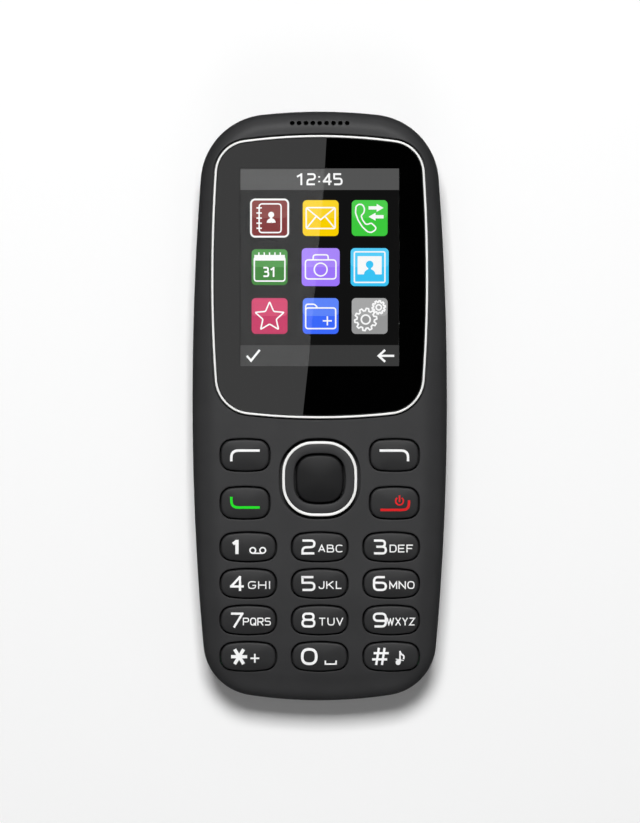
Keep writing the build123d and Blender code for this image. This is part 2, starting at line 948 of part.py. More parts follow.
def cover_catches(top_z):
    """Four ribs inside the cover's walls that grip the rear housing."""
    catches = []
    for y in catch_places:
        band = body.prism(cover_wall / 2, 0, top_z) - body.prism(cover_wall + catch_depth, 0, top_z)
        high_z = top_z - catch_drop
        catches.append(band & block(body_width, catch_width, high_z - catch_height, high_z, y=y))
    return catches


def make_screws():
    """Six pan-head screws, their heads towards the back."""
    low_z = head_seat_z - head_thickness
    screw = stud(head_radius, low_z, head_seat_z)
    screw += stud(screw_radius, head_seat_z, head_seat_z + screw_length)
    return Compound(children=[Pos(x, y, 0) * screw for x, y in screw_places])


def make_battery():
    """The battery's body, without its cap."""
    length = battery_length - cap_length - seat_gap
    y = battery_top_y - battery_length + length / 2
    cell = block(battery_width, length, battery_z, battery_top_z, y=y)
    return fillet(cell.edges().filter_by(Axis.Y), battery_corner)


def make_battery_cap():
    """The battery's plastic cap, with pockets for its contacts."""
    y = battery_top_y - cap_length / 2
    cap = block(
        battery_width - 2 * cap_step,
        cap_length,
        battery_z + cap_step,
        battery_top_z - cap_step,
        y=y,
    )
    width, depth, height = contact_size
    for x in row(contact_count, contact_pitch):
        cap -= block(width, 2 * depth, contact_low_z(), contact_low_z() + height, x, battery_top_y)
    return cap


def contact_low_z():
    """Height of the contacts' lower edge, which centres them on the battery."""
    return (battery_z + battery_top_z - contact_size[2]) / 2


def make_battery_contacts():
    """Three gold contacts in the cap's pockets."""
    width, depth, height = contact_size
    low_z = contact_low_z() + seat_gap
    high_z = contact_low_z() + height - seat_gap
    y = battery_top_y - depth / 2
    return Compound(
        children=[
            block(width - 2 * seat_gap, depth, low_z, high_z, x, y)
            for x in row(contact_count, contact_pitch)
        ]
    )


def make_battery_connector():
    """The board's battery connector: a block in the bay's end wall, with three springs."""
    front_y = battery_top_y + battery_gap + connector_gap
    y = front_y + connector_depth / 2
    connector = block(connector_width, connector_depth, connector_low_z, under_board_z, y=y)
    z = (battery_z + battery_top_z) / 2
    nose_y = front_y - spring_reach / 2
    for x in row(contact_count, contact_pitch):
        low_z = z - spring_height / 2
        connector += block(
            spring_width, spring_reach, low_z, low_z + spring_height, x, nose_y
        )
    return connector


def card_socket(size, x, y):
    """A card socket under the board: a base, and a folded shell with a mouth towards the chin."""
    width, length = size
    low_z = bay_roof_z + socket_sink
    shell = block(width, length, low_z, under_board_z, x, y)
    mouth_width = width - 2 * socket_side
    mouth_length = length - socket_stop
    mouth_y = y - socket_stop / 2 - overrun / 2
    return shell - block(
        mouth_width,
        mouth_length + overrun,
        low_z + socket_wall,
        under_board_z - socket_base,
        x,
        mouth_y,
    )


def make_sim_sockets():
    """The two SIM sockets, side by side."""
    return Compound(children=[card_socket(sim_size, x, sim_y) for x in (-sim_column, sim_column)])


def make_memory_socket():
    """The memory card socket."""
    return card_socket(memory_size, 0, memory_y)


def jack_front_y():
    """Where the headphone socket's nose ends, just inside the top end."""
    return end_y(0, abs(jack_x) + jack_nose_radius) - jack_recess


def jack_back_y():
    """Where the headphone socket's body ends inside."""
    return jack_front_y() - jack_nose_length - jack_length


def make_headphone_socket():
    """The headphone socket: a body under the board's cut-out and a round nose with the bore."""
    front_y = jack_front_y()
    back_y = jack_back_y()
    reach = jack_bore_radius + jack_wall
    socket = block(
        jack_width, jack_length, jack_z - reach, jack_z + reach, jack_x, back_y + jack_length / 2
    )
    socket += rod_along_y(jack_nose_radius, back_y + jack_length / 2, front_y, jack_x, jack_z)
    return socket - rod_along_y(
        jack_bore_radius, front_y - jack_bore_depth, front_y + overrun, jack_x, jack_z
    )


def make_charging_socket():
    """The charging socket: a steel shell with bevelled lower corners and a tongue inside."""
    front_y = end_y(1, usb_width / 2) + usb_recess
    y = front_y + usb_length / 2
    low_z = under_board_z - usb_height
    shell = block(usb_width, usb_length, low_z, under_board_z, y=y)
    lower = [edge for edge in shell.edges().filter_by(Axis.Y) if edge.center().Z < low_z + usb_wall]
    shell = chamfer(lower, usb_bevel)
    wall = 2 * usb_wall
    mouth_length = usb_length - usb_back_wall
    mouth = block(
        usb_width - wall, mouth_length, low_z + usb_wall, under_board_z - usb_wall,
        y=front_y + mouth_length / 2,
    )
    lower = [
        edge for edge in mouth.edges().filter_by(Axis.Y) if edge.center().Z < low_z + wall
    ]
    mouth = chamfer(lower, usb_bevel - usb_wall / 2)
    middle_z = under_board_z - usb_height / 2
    tongue_length = usb_length - tongue_recess - usb_back_wall / 2
    tongue = block(
        tongue_width,
        tongue_length,
        middle_z - tongue_thickness / 2,
        middle_z + tongue_thickness / 2,
        y=front_y + tongue_recess + tongue_length / 2,
    )
    return shell - mouth + tongue


def make_microphone():
    """The microphone can under the board."""
    width, depth, height = microphone_size
    return block(width, depth, under_board_z - height, under_board_z, microphone_x, microphone_y)


def make_speaker():
    """The loudspeaker capsule, over its opening in the rear housing."""
    low_z = rear_floor_z + seat_gap
    return cut_block(
        speaker_width, speaker_height, low_z, low_z + speaker_depth, speaker_corner, y=speaker_y
    )


def make_speaker_mesh():
    """The dust mesh outside the rear housing, under the cover's slots."""
    high_z = rear_inset - seat_gap
    return cut_block(
        speaker_width,
        speaker_height,
        high_z - speaker_mesh_thickness,
        high_z,
        speaker_corner,
        y=speaker_y,
    )


def camera_low_z():
    """Height of the camera's base, which hangs under the board."""
    return under_board_z - camera_base_height


def make_camera_module():
    """The camera: a square base, and a barrel that looks out of the back."""
    low_z = camera_low_z()
    camera = block(camera_base, camera_base, low_z, under_board_z, y=camera_y)
    return camera + post(camera_barrel_radius, low_z - camera_barrel_length, low_z, y=camera_y)


def make_camera_window():
    """The clear disc in the camera's ring."""
    low_z = ring_recess + camera_glass_sink
    return post(glass_radius, low_z, low_z + camera_glass_thickness, y=camera_y)


def make_vibration_motor():
    """The motor's can."""
    half = motor_length / 2
    return rod_along_x(motor_radius, motor_x - half, motor_x + half, motor_y, motor_z)


def make_vibration_weight():
    """The half-round weight, with the motor's shaft that it spins on."""
    can_x = motor_x + motor_length / 2
    low_x = can_x + weight_gap
    high_x = low_x + weight_length
    weight = rod_along_x(weight_radius, low_x, high_x, motor_y, motor_z)
    weight &= block(body_width, body_length, motor_z - front_z, motor_z)
    return weight + rod_along_x(shaft_radius, can_x + seat_gap, high_x, motor_y, motor_z)


def make_shield_can():
    """The steel can over the radio, open towards the board."""
    low_z = under_board_z - shield_height
    can = block(shield_width, shield_length, low_z, under_board_z, shield_x, shield_y)
    width = shield_width - 2 * shield_wall
    length = shield_length - 2 * shield_wall
    return can - block(width, length, low_z + shield_wall, front_z, shield_x, shield_y)


def make_aerial():
    """The aerial, a thin plate on the back of the rear housing."""
    high_z = rear_inset - seat_gap
    return block(aerial_width, aerial_height, high_z - aerial_thickness, high_z, y=aerial_y)


pieces = {
    "front_housing": make_front_housing,
    "rear_housing": make_rear_housing,
    "rear_cover": make_rear_cover,
    "main_board": make_main_board,
    "window_lens": make_window_lens,
    "window_trim": make_window_trim,
    "display_panel": make_display_panel,
    "display_frame": make_display_frame,
    "display_gasket": make_display_gasket,
    "display_flex": make_display_flex,
    "earpiece": make_earpiece,
    "earpiece_mesh": make_earpiece_mesh,
    "nav_ring": make_nav_ring,
    "nav_trim": make_nav_trim,
    "nav_rocker": make_rocker,
    "select_key": make_select_key,
    "dome_sheet": make_dome_sheet,
    "key_mat": make_key_mat,
    "key_lamps": make_key_lamps,
    "screws": make_screws,
    "battery": make_battery,
    "battery_cap": make_battery_cap,
    "battery_contacts": make_battery_contacts,
    "battery_connector": make_battery_connector,
    "sim_sockets": make_sim_sockets,
    "memory_socket": make_memory_socket,
    "headphone_socket": make_headphone_socket,
    "charging_socket": make_charging_socket,
    "microphone": make_microphone,
    "speaker": make_speaker,
    "speaker_mesh": make_speaker_mesh,
    "camera_module": make_camera_module,
    "camera_window": make_camera_window,
    "vibration_motor": make_vibration_motor,
    "vibration_weight": make_vibration_weight,
    "shield_can": make_shield_can,
    "aerial": make_aerial,
}

os.makedirs("parts", exist_ok=True)
for name, outline in keys.items():
    export_step(make_key(outline), "parts/" + name + ".step")
for name, make in pieces.items():
    export_step(make(), "parts/" + name + ".step")
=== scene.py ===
# %% [markdown]
# A bar-shaped feature phone lies on its back, seen from straight above. Its solids are loaded first,
# at their real places. Each part that the eye reads is then built again as a finer surface, on the
# same outlines, and every solid gets the finish of its real material.

import bmesh
import bpy
import numpy as np
from mathutils.geometry import delaunay_2d_cdt
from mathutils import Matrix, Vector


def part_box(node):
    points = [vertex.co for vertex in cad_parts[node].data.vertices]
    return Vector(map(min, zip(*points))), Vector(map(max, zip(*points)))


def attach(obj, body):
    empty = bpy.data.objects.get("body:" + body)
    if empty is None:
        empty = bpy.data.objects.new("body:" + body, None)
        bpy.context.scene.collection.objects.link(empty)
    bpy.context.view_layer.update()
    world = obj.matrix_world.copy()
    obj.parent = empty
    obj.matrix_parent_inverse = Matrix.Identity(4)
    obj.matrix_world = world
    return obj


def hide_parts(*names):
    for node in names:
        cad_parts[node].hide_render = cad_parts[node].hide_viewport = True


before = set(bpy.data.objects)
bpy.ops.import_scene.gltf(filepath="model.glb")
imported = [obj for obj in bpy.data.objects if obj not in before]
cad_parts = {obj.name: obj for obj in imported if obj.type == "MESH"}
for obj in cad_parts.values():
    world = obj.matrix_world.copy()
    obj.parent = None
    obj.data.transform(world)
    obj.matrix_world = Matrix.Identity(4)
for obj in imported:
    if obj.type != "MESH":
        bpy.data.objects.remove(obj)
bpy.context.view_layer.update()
MM = 0.001

# %% [markdown]
# All the phone's outlines are of one family: closed rows of arcs that touch, with two long side
# arcs, two end arcs and four tight shoulders. A spline through hand-placed points would also look
# soft, but touching arcs are what a toolmaker draws, and a parallel outline inside one is easy: each
# arc keeps its centre and its radius gets shorter. Everything here is in millimetres until the mesh
# is made.

# %% Outlines of touching arcs
def touching_arcs(half_width, reaches, radii, x=0, y=0):
    """Rows of centre x, centre y, radius, start angle and turn, anticlockwise from the right side.

    reaches and radii give the upper end, then the lower end. A shoulder's centre is as far from
    the side arc's centre as their radii differ, and so for the end arc, so it is where two
    circles meet.
    """
    ends = []
    for reach, (side, shoulder, tip) in zip(reaches, radii):
        side_x, tip_y = half_width - side, reach - tip
        gap = np.hypot(side_x, tip_y)
        along = ((side - shoulder) ** 2 - (tip - shoulder) ** 2 + gap**2) / (2 * gap)
        across = np.sqrt((side - shoulder) ** 2 - along**2)
        shoulder_x = side_x + (across * -tip_y - along * side_x) / gap
        shoulder_y = (along * tip_y - across * side_x) / gap
        side_turn = np.arctan2(shoulder_y, shoulder_x - side_x)
        tip_turn = np.arctan2(shoulder_y - tip_y, shoulder_x)
        ends.append((side_x, tip_y, shoulder_x, shoulder_y, side_turn, tip_turn))
    (sx, ty, cx, cy, a, b), (lsx, lty, lcx, lcy, la, lb) = ends
    (side, shoulder, tip), (low_side, low_shoulder, low_tip) = radii
    half = np.pi
    arcs = [
        (sx, 0, side, 0, a),
        (cx, cy, shoulder, a, b - a),
        (0, ty, tip, b, half - 2 * b),
        (-cx, cy, shoulder, half - b, b - a),
        (-sx, 0, side, half - a, a),
        (-lsx, 0, low_side, half, la),
        (-lcx, -lcy, low_shoulder, half + la, lb - la),
        (0, -lty, low_tip, half + lb, half - 2 * lb),
        (lcx, -lcy, low_shoulder, -lb, lb - la),
        (lsx, 0, low_side, -la, la),
    ]
    return np.array(arcs) + (x, y, 0, 0, 0)


def round_ring(radius, x, y):
    """A circle as one arc of a whole turn."""
    return np.array([(x, y, radius, 0, 2 * np.pi)])


def slot_ring(width, height, corner, x, y):
    """A rectangle with round corners as four arcs; the straights lie between neighbouring arcs."""
    dx, dy = width / 2 - corner, height / 2 - corner
    quarter = np.pi / 2
    corners = [(dx, dy, 0), (-dx, dy, 1), (-dx, -dy, 2), (dx, -dy, 3)]
    return np.array([(x + a, y + b, corner, turn * quarter, quarter) for a, b, turn in corners])


CORNER_SHARE = 8.0  # how much a turn counts beside its length, so tight corners get their points


def trace(arcs, count, inset=0.0):
    """Points round the arcs: centre + (radius - inset) times the unit vector of the angle.

    The points are shared out by each arc's turn times (radius + CORNER_SHARE). inset may be a
    column of values, and then the result is a grid with one row for each.
    """
    shares = arcs[:, 4] * (arcs[:, 2] + CORNER_SHARE)
    ends = np.cumsum(shares)
    along = np.arange(count) / count * ends[-1]
    index = np.searchsorted(ends, along, side="right")
    angle = arcs[index, 3] + (along - ends[index] + shares[index]) / shares[index] * arcs[index, 4]
    radius = arcs[index, 2] - inset
    return np.stack(
        [arcs[index, 0] + radius * np.cos(angle), arcs[index, 1] + radius * np.sin(angle)], axis=-1
    )


def depth_inside(arcs, points):
    """How far points lie inside an outline: the least (radius - distance to an arc's centre),
    among the arcs whose fan of radii holds the point."""
    slack = 1e-6
    depth = np.full(points.shape[:-1], np.inf)
    for x, y, radius, start, turn in arcs:
        away = points - (x, y)
        angle = (np.arctan2(away[..., 1], away[..., 0]) - start + slack) % (2 * np.pi)
        here = radius - np.hypot(away[..., 0], away[..., 1])
        depth = np.where(angle <= turn + 2 * slack, np.minimum(depth, here), depth)
    return depth


# %% [markdown]
# The solids give every place and height that the finer surfaces must keep. The radii are the phone's
# own, as a drawing would give them.

# %% Sizes read from the solids
def span(node):
    """Lowest and highest corner of a solid, in millimetres."""
    low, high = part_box(node)
    return np.array(low) / MM, np.array(high) / MM


def middle(node):
    """Middle of a solid in plan."""
    low, high = span(node)
    return (low[:2] + high[:2]) / 2


housing_low, housing_high = span("front_housing")
WIDEST_Y = 1.1
BODY_RADII = ((559.0, 12.9, 97.7), (516.0, 10.1, 86.3))
BODY = touching_arcs(
    housing_high[0],
    (housing_high[1] - WIDEST_Y, WIDEST_Y - housing_low[1]),
    BODY_RADII,
    y=WIDEST_Y,
)
FRONT_Z = housing_high[2]
PARTING_Z = housing_low[2]
WALL = 1.4

trim_low, trim_high = span("window_trim")
WINDOW_Y = 23.4
WINDOW_RADII = ((317.0, 6.4, 104.0), (260.0, 7.0, 122.0))
WINDOW = touching_arcs(
    trim_high[0], (trim_high[1] - WINDOW_Y, WINDOW_Y - trim_low[1]), WINDOW_RADII, y=WINDOW_Y
)
TRIM_WIDTH = 0.4
TRIM_GROOVE = 0.2

NUMBER_RADII = (5.2, 2.3, 22.0)
SIDE_RADII = (9.0, 2.3, 24.0)
NUMBER_NAMES = ["1", "2", "3", "4", "5", "6", "7", "8", "9", "star", "0", "hash"]
NUMBER_KEYS = ["key_" + name for name in NUMBER_NAMES]
SIDE_KEYS = ["soft_key_left", "soft_key_right", "call_key", "end_key"]
NUMBER_OPENING = (10.75, 5.8)
SIDE_OPENING = (9.5, 6.3)
KEY_GAP = 0.25


def opening(node):
    """Outline of the hole that a key stands in."""
    width, height = NUMBER_OPENING if node in NUMBER_KEYS else SIDE_OPENING
    radii = NUMBER_RADII if node in NUMBER_KEYS else SIDE_RADII
    x, y = middle(node)
    return touching_arcs(width / 2, (height / 2, height / 2), (radii, radii), x, y)


OPENINGS = {node: opening(node) for node in NUMBER_KEYS + SIDE_KEYS}
NAV_X, NAV_Y = middle("select_key")
NAV_HALF = 7.55
NAV_RADII = (30.0, 6.3, 30.0)
NAV_GAP = 0.5
NAV = touching_arcs(NAV_HALF, (NAV_HALF,) * 2, (NAV_RADII,) * 2, NAV_X, NAV_Y)
SELECT_HALF = 4.45
SELECT_RADII = (14.0, 3.0, 14.0)
SELECT = touching_arcs(SELECT_HALF, (SELECT_HALF,) * 2, (SELECT_RADII,) * 2, NAV_X, NAV_Y)
SELECT_GAP = 0.3
print(len(OPENINGS), "key openings; front at", FRONT_Z, "mm, parting line at", PARTING_Z, "mm")

# %% [markdown]
# Three helpers make every mesh. One joins a grid of points with four-sided faces. One fills a flat
# outline with triangles and leaves holes open, which no grid can do where sixteen keys pierce one
# skin. One turns the arrays into a mesh, merges what coincides, and lets edges sharper than an angle
# stay sharp. Numpy does the sums on whole arrays, so even a dense shell takes a moment.

# %% Grids, pierced sheets and meshes
def grid_faces(rows, columns, closed):
    """Four-sided faces between the points of a grid, whose columns may join up into a ring."""
    across = np.arange(columns if closed else columns - 1)
    down = np.arange(rows - 1)[:, None] * columns
    right = (across + 1) % columns
    faces = [down + across, down + right, down + columns + right, down + columns + across]
    return np.stack(faces, axis=-1).reshape(-1, 4)


def grid_part(points, closed=True):
    """A grid's points as one long list, with its faces."""
    rows, columns = points.shape[:2]
    return points.reshape(-1, 3), grid_faces(rows, columns, closed)


def inside_loop(points, loop):
    """Even-odd rule: a point is inside where a ray to its right crosses the loop an odd number
    of times."""
    x, y = points[:, 0:1], points[:, 1:2]
    ax, ay = loop.T
    bx, by = np.roll(loop, -1, axis=0).T
    crosses = (ay > y) != (by > y)
    with np.errstate(divide="ignore", invalid="ignore"):
        at = ax + (y - ay) * (bx - ax) / (by - ay)
    return (crosses & (x < at)).sum(axis=1) % 2 == 1


def ring_edges(start, count):
    """Pairs of neighbouring numbers round a ring."""
    here = np.arange(count)
    return start + np.stack([here, (here + 1) % count], axis=-1)


def pierced_sheet(rings, holes, loose=np.zeros((0, 2))):
    """Flat points and triangles that fill the first ring, pass along the others and the loose
    points, and leave the holes open: a Delaunay triangulation with the rings as fixed edges."""
    loops = rings + holes
    starts = np.cumsum([0] + [len(loop) for loop in loops])
    edges = np.concatenate([ring_edges(start, len(loop)) for start, loop in zip(starts, loops)])
    flat = np.concatenate(loops + [loose])
    inside_fixed_edges, least_gap = 1, 1e-5
    made = delaunay_2d_cdt(flat.tolist(), edges.tolist(), [], inside_fixed_edges, least_gap)
    points, faces = np.array(made[0]), np.array(made[2])
    centres = points[faces].mean(axis=1)
    kept = inside_loop(centres, rings[0])
    for hole in holes:
        kept &= ~inside_loop(centres, hole)
    return points, faces[kept]


def with_heights(points, heights):
    """Adds a height to each flat point."""
    return np.concatenate([points, np.broadcast_to(heights, points.shape[:-1])[..., None]], -1)


def joined(parts):
    """Several (points, faces) pairs as one, with the faces renumbered as lists."""
    starts = np.cumsum([0] + [len(points) for points, _ in parts])
    faces = [row for start, (_, part) in zip(starts, parts) for row in (part + start).tolist()]
    return np.concatenate([points for points, _ in parts]), faces


SHARP_ANGLE = np.radians(35)
MERGE_GAP = 2e-6


def make_piece(name, parts, closed=True):
    """A mesh object at the origin, its points scaled to metres. A closed one has its doubles
    merged and its faces turned outwards."""
    points, faces = joined(parts)
    mesh = bpy.data.meshes.new(name)
    mesh.from_pydata((points * MM).tolist(), [], faces)
    if closed:
        work = bmesh.new()
        work.from_mesh(mesh)
        bmesh.ops.remove_doubles(work, verts=work.verts, dist=MERGE_GAP)
        bmesh.ops.dissolve_degenerate(work, edges=work.edges, dist=MERGE_GAP / 2)
        bmesh.ops.recalc_face_normals(work, faces=work.faces)
        work.to_mesh(mesh)
        work.free()
    mesh.shade_smooth()
    mesh.set_sharp_from_angle(angle=SHARP_ANGLE)
    piece = bpy.data.objects.new(name, mesh)
    bpy.context.scene.collection.objects.link(piece)
    return piece


# %% [markdown]
# Every finish starts from a real material. One function turns the hex value of a colour, which is
# how a screen or a swatch gives it, into the linear numbers that light is added up in. One more adds
# a node with its settings and its links, so that each material reads as a short recipe.

# %% Colours and nodes
def linear(hex_colour):
    """The linear red, green, blue and alpha of an sRGB hex colour."""
    values = np.array([int(hex_colour[at : at + 2], 16) for at in (1, 3, 5)]) / 255
    low = values <= 0.04045
    return [*np.where(low, values / 12.92, ((values + 0.055) / 1.055) ** 2.4).tolist(), 1.0]


def add_node(tree, kind, values=None, links=None, **settings):
    """Adds a node of a kind, with its settings, its sockets' values and its links from outputs."""
    node = tree.nodes.new("ShaderNode" + kind)
    for name, value in settings.items():
        setattr(node, name, value)
    for name, value in (values or {}).items():
        node.inputs[name].default_value = value
    for name, output in (links or {}).items():
        tree.links.new(output, node.inputs[name])
    return node


# A Mix node's sockets go by number: its factor, its two numbers and its two colours
FACTOR, NUMBER_A, NUMBER_B, COLOUR_A, COLOUR_B = 0, 2, 3, 6, 7
MIXED_NUMBER, MIXED_COLOUR = 0, 2


def new_material(name):
    """A material with an empty node tree."""
    material = bpy.data.materials.new(name)
    material.use_nodes = True
    material.node_tree.nodes.clear()
    return material, material.node_tree


def per_metre(size_mm):
    """Noise scale at which one blob of the pattern is about this many millimetres."""
    return 1 / (size_mm * MM)


# %% [markdown]
# Most parts are moulded plastic, rubber or plated metal, whose look is one colour that wanders a
# little, a grain left by the mould or the rolling, and a gloss. One recipe serves them: a coarse
# noise moves the colour between two hex values, a fine noise lifts the surface by a real height and
# moves the roughness. Grain under about 0.2 mm would vanish in this picture, so it is drawn at the
# size given here, which is as coarse as it needs to show close up.

# %% A grained finish
CLOUD_SIZE, CLOUD_DETAIL = 6.0, 4.0
CLOUD_EDGES = (0.35, 0.65)
GRAIN_DETAIL = 6.0
GRAIN_STRENGTH = 0.6
GLOSS_SPREAD = 0.15


def grained(name, hex_low, hex_high, grain, relief, roughness, stretch=(1, 1, 1), **fixed):
    """Colour from a coarse noise, height and roughness from a fine one, on Object coordinates."""
    material, tree = new_material(name)
    place = add_node(tree, "TexCoord").outputs["Object"]
    place = add_node(tree, "Mapping", {"Scale": stretch}, {"Vector": place}).outputs["Vector"]
    broad = add_node(
        tree, "TexNoise", {"Scale": per_metre(CLOUD_SIZE), "Detail": CLOUD_DETAIL}, {"Vector": place}
    )
    fine = add_node(
        tree, "TexNoise", {"Scale": per_metre(grain), "Detail": GRAIN_DETAIL}, {"Vector": place}
    )
    colour = add_node(tree, "ValToRGB", links={"Fac": broad.outputs["Fac"]})
    low, high = colour.color_ramp.elements
    low.position, high.position = CLOUD_EDGES
    low.color, high.color = linear(hex_low), linear(hex_high)
    gloss = add_node(
        tree,
        "MapRange",
        {"To Min": roughness * (1 - GLOSS_SPREAD), "To Max": roughness * (1 + GLOSS_SPREAD)},
        {"Value": fine.outputs["Fac"]},
    )
    bump = add_node(
        tree,
        "Bump",
        {"Distance": relief * MM, "Strength": GRAIN_STRENGTH},
        {"Height": fine.outputs["Fac"]},
    )
    links = {
        "Base Color": colour.outputs["Color"],
        "Roughness": gloss.outputs["Result"],
        "Normal": bump.outputs["Normal"],
    }
    surface = add_node(tree, "BsdfPrincipled", fixed.get("values"), links)
    add_node(tree, "OutputMaterial", links={"Surface": surface.outputs["BSDF"]})
    return material


# A spark-eroded skin scatters much of its shine, so its mirror share is under that of smooth ABS
SATIN = {"IOR": 1.53, "Specular IOR Level": 0.2}
# ABS with a fine spark-eroded mould texture: a soft satin grey that never shines sharply
HOUSING_ABS = grained("satin_abs", "#29292a", "#2c2c2d", 0.30, 0.006, 0.50, values=SATIN)
# The cover's mould is eroded a little coarser, so that fingers hold it
COVER_ABS = grained("eroded_abs", "#29292a", "#2e2e2f", 0.40, 0.03, 0.58, values=SATIN)
# Polycarbonate keys, painted and rubbed: darker than the housing, with a broad soft shine
KEY_PAINT = grained("painted_polycarbonate", "#1c1c1d", "#1f1f20", 0.25, 0.002, 0.46, values=SATIN)
# The middle key is the darkest, so that its shine shows its dome
SELECT_PAINT = grained(
    "dark_polycarbonate", "#121213", "#141415", 0.25, 0.001, 0.44, values={"Specular IOR Level": 0.14}
)
# White gloss plastic of the two thin lines
WHITE_LINE = grained("white_gloss_abs", "#f0f0ee", "#f6f6f4", 0.3, 0.001, 0.3)
SILICONE = grained("black_silicone", "#0e0e0f", "#141415", 0.5, 0.004, 0.6)
BLACK_NYLON = grained("black_glass_filled_nylon", "#1c1c1d", "#232324", 0.25, 0.008, 0.5)
WHITE_TRAY = grained("white_backlight_polycarbonate", "#dcdcd6", "#e6e6e0", 0.4, 0.004, 0.45)
FOAM = grained("closed_cell_foam", "#1a1a1a", "#262626", 0.5, 0.08, 0.9)
FLEX_FILM = grained("amber_polyimide_film", "#8a4b14", "#9c5a1c", 0.6, 0.002, 0.3)
DOME_FILM = grained("clear_polyester_film", "#c4c6c4", "#d2d4d2", 0.5, 0.002, 0.3)
LAMP_RESIN = grained("lamp_resin", "#d8d3b0", "#ece8cc", 0.3, 0.002, 0.25)
BATTERY_WRAP = grained("printed_polyester_wrap", "#22252b", "#2a2e35", 0.5, 0.004, 0.4)
METAL = {"Metallic": 1.0}
STEEL = grained("bright_steel", "#b8b8ba", "#c6c6c8", 0.3, 0.003, 0.28, values=METAL)
DRAWN_STEEL = grained(
    "rolled_plated_steel", "#c0bfba", "#cfcec9", 0.3, 0.004, 0.3, (1, 8, 1), values=METAL
)
TUNGSTEN = grained("sintered_tungsten", "#7c7c80", "#8a8a8e", 0.2, 0.012, 0.45, values=METAL)
GOLD = grained("gold_plate", "#e0b45c", "#ecc474", 0.3, 0.001, 0.22, values=METAL)

# %% [markdown]
# Three finishes need their own pattern. The board is glass-fibre laminate under green solder mask,
# where copper tracks show as paler lines. The dust mesh is woven, with threads over and under. The
# window is cast acrylic, clear over the picture. Over black ink the eye sees only black with a faint
# gloss, so one black glossy finish stands for the two there.

# %% Board, mesh and window
def solder_mask():
    """Green lacquer whose copper tracks show as the paler lines between the bricks of a pattern."""
    material, tree = new_material("green_solder_mask")
    place = add_node(tree, "TexCoord").outputs["Object"]
    track_pitch, track_width, brick_width, brick_height = 1.6, 0.09, 2.4, 0.6
    track_relief = 0.02
    tracks = add_node(
        tree,
        "TexBrick",
        {
            "Scale": per_metre(track_pitch),
            "Color1": linear("#0f3a24"),
            "Color2": linear("#0c301d"),
            "Mortar": linear("#17502f"),
            "Mortar Size": track_width,
            "Brick Width": brick_width,
            "Row Height": brick_height,
        },
        {"Vector": place},
    )
    bump = add_node(
        tree,
        "Bump",
        {"Distance": track_relief * MM, "Strength": 0.7},
        {"Height": tracks.outputs["Fac"]},
    )
    surface = add_node(
        tree,
        "BsdfPrincipled",
        {"Roughness": 0.35, "IOR": 1.5},
        {"Base Color": tracks.outputs["Color"], "Normal": bump.outputs["Normal"]},
    )
    add_node(tree, "OutputMaterial", links={"Surface": surface.outputs["BSDF"]})
    return material


def woven_mesh():
    """Black threads that cross: the higher of two wave patterns at right angles is the surface.

    Real threads lie under 0.2 mm apart, too fine to show, so they are drawn far coarser.
    """
    material, tree = new_material("woven_polyester_mesh")
    place = add_node(tree, "TexCoord").outputs["Object"]
    thread_pitch, thread_relief = 1.885, 0.05
    waves_per_unit = 20 / (2 * np.pi)  # how many waves this node draws in one unit at a scale of 1
    waves = [
        add_node(
            tree,
            "TexWave",
            {"Scale": per_metre(thread_pitch) / waves_per_unit, "Distortion": 0.0},
            {"Vector": place},
            bands_direction=direction,
        ).outputs["Fac"]
        for direction in ("X", "Y")
    ]
    higher = add_node(tree, "Math", links={0: waves[0], 1: waves[1]}, operation="MAXIMUM")
    colour = add_node(tree, "ValToRGB", links={"Fac": higher.outputs["Value"]})
    low, high = colour.color_ramp.elements
    low.color, high.color = linear("#050505"), linear("#262627")
    bump = add_node(
        tree,
        "Bump",
        {"Distance": thread_relief * MM, "Strength": 1.0},
        {"Height": higher.outputs["Value"]},
    )
    surface = add_node(
        tree,
        "BsdfPrincipled",
        {"Roughness": 0.7},
        {"Base Color": colour.outputs["Color"], "Normal": bump.outputs["Normal"]},
    )
    add_node(tree, "OutputMaterial", links={"Surface": surface.outputs["BSDF"]})
    return material


ACRYLIC_IOR = 1.49


def acrylic(name, hex_low, hex_high, **values):
    """Cast acrylic with a mirror polish, whose tint wanders between two near ones."""
    material, tree = new_material(name)
    place = add_node(tree, "TexCoord").outputs["Object"]
    cloud_size, cloud_detail = 9.0, 3.0
    cloud = add_node(
        tree, "TexNoise", {"Scale": per_metre(cloud_size), "Detail": cloud_detail}, {"Vector": place}
    )
    tint = add_node(tree, "ValToRGB", links={"Fac": cloud.outputs["Fac"]})
    low, high = tint.color_ramp.elements
    low.color, high.color = linear(hex_low), linear(hex_high)
    surface = add_node(
        tree,
        "BsdfPrincipled",
        {"Roughness": 0.0, "IOR": ACRYLIC_IOR, **values},
        {"Base Color": tint.outputs["Color"]},
    )
    add_node(tree, "OutputMaterial", links={"Surface": surface.outputs["BSDF"]})
    return material


SOLDER_MASK = solder_mask()
DUST_MESH = woven_mesh()
CLEAR = {"Transmission Weight": 1.0}
ACRYLIC = acrylic("clear_cast_acrylic", "#fcfdfd", "#ffffff", **CLEAR)
BACKED_ACRYLIC = acrylic("black_backed_acrylic", "#010101", "#020202")
# Over the picture the plate mirrors nothing: the gloss is given to the picture's own surface, as if
# it were bonded to the plate, which keeps the render free of grain
BONDED_ACRYLIC = acrylic(
    "bonded_clear_acrylic", "#fcfdfd", "#ffffff", **CLEAR, **{"Specular Tint": (0, 0, 0, 1)}
)
# The print is bonded to the acrylic, so no air lies between them and it has no gloss of its own
BLACK_PRINT = grained(
    "black_screen_print", "#010101", "#020202", 0.3, 0.0005, 0.6, values={"Specular IOR Level": 0.0}
)
PANEL_GLASS = grained("unlit_display_glass", "#08080a", "#0c0c0f", 0.4, 0.0005, 0.2)

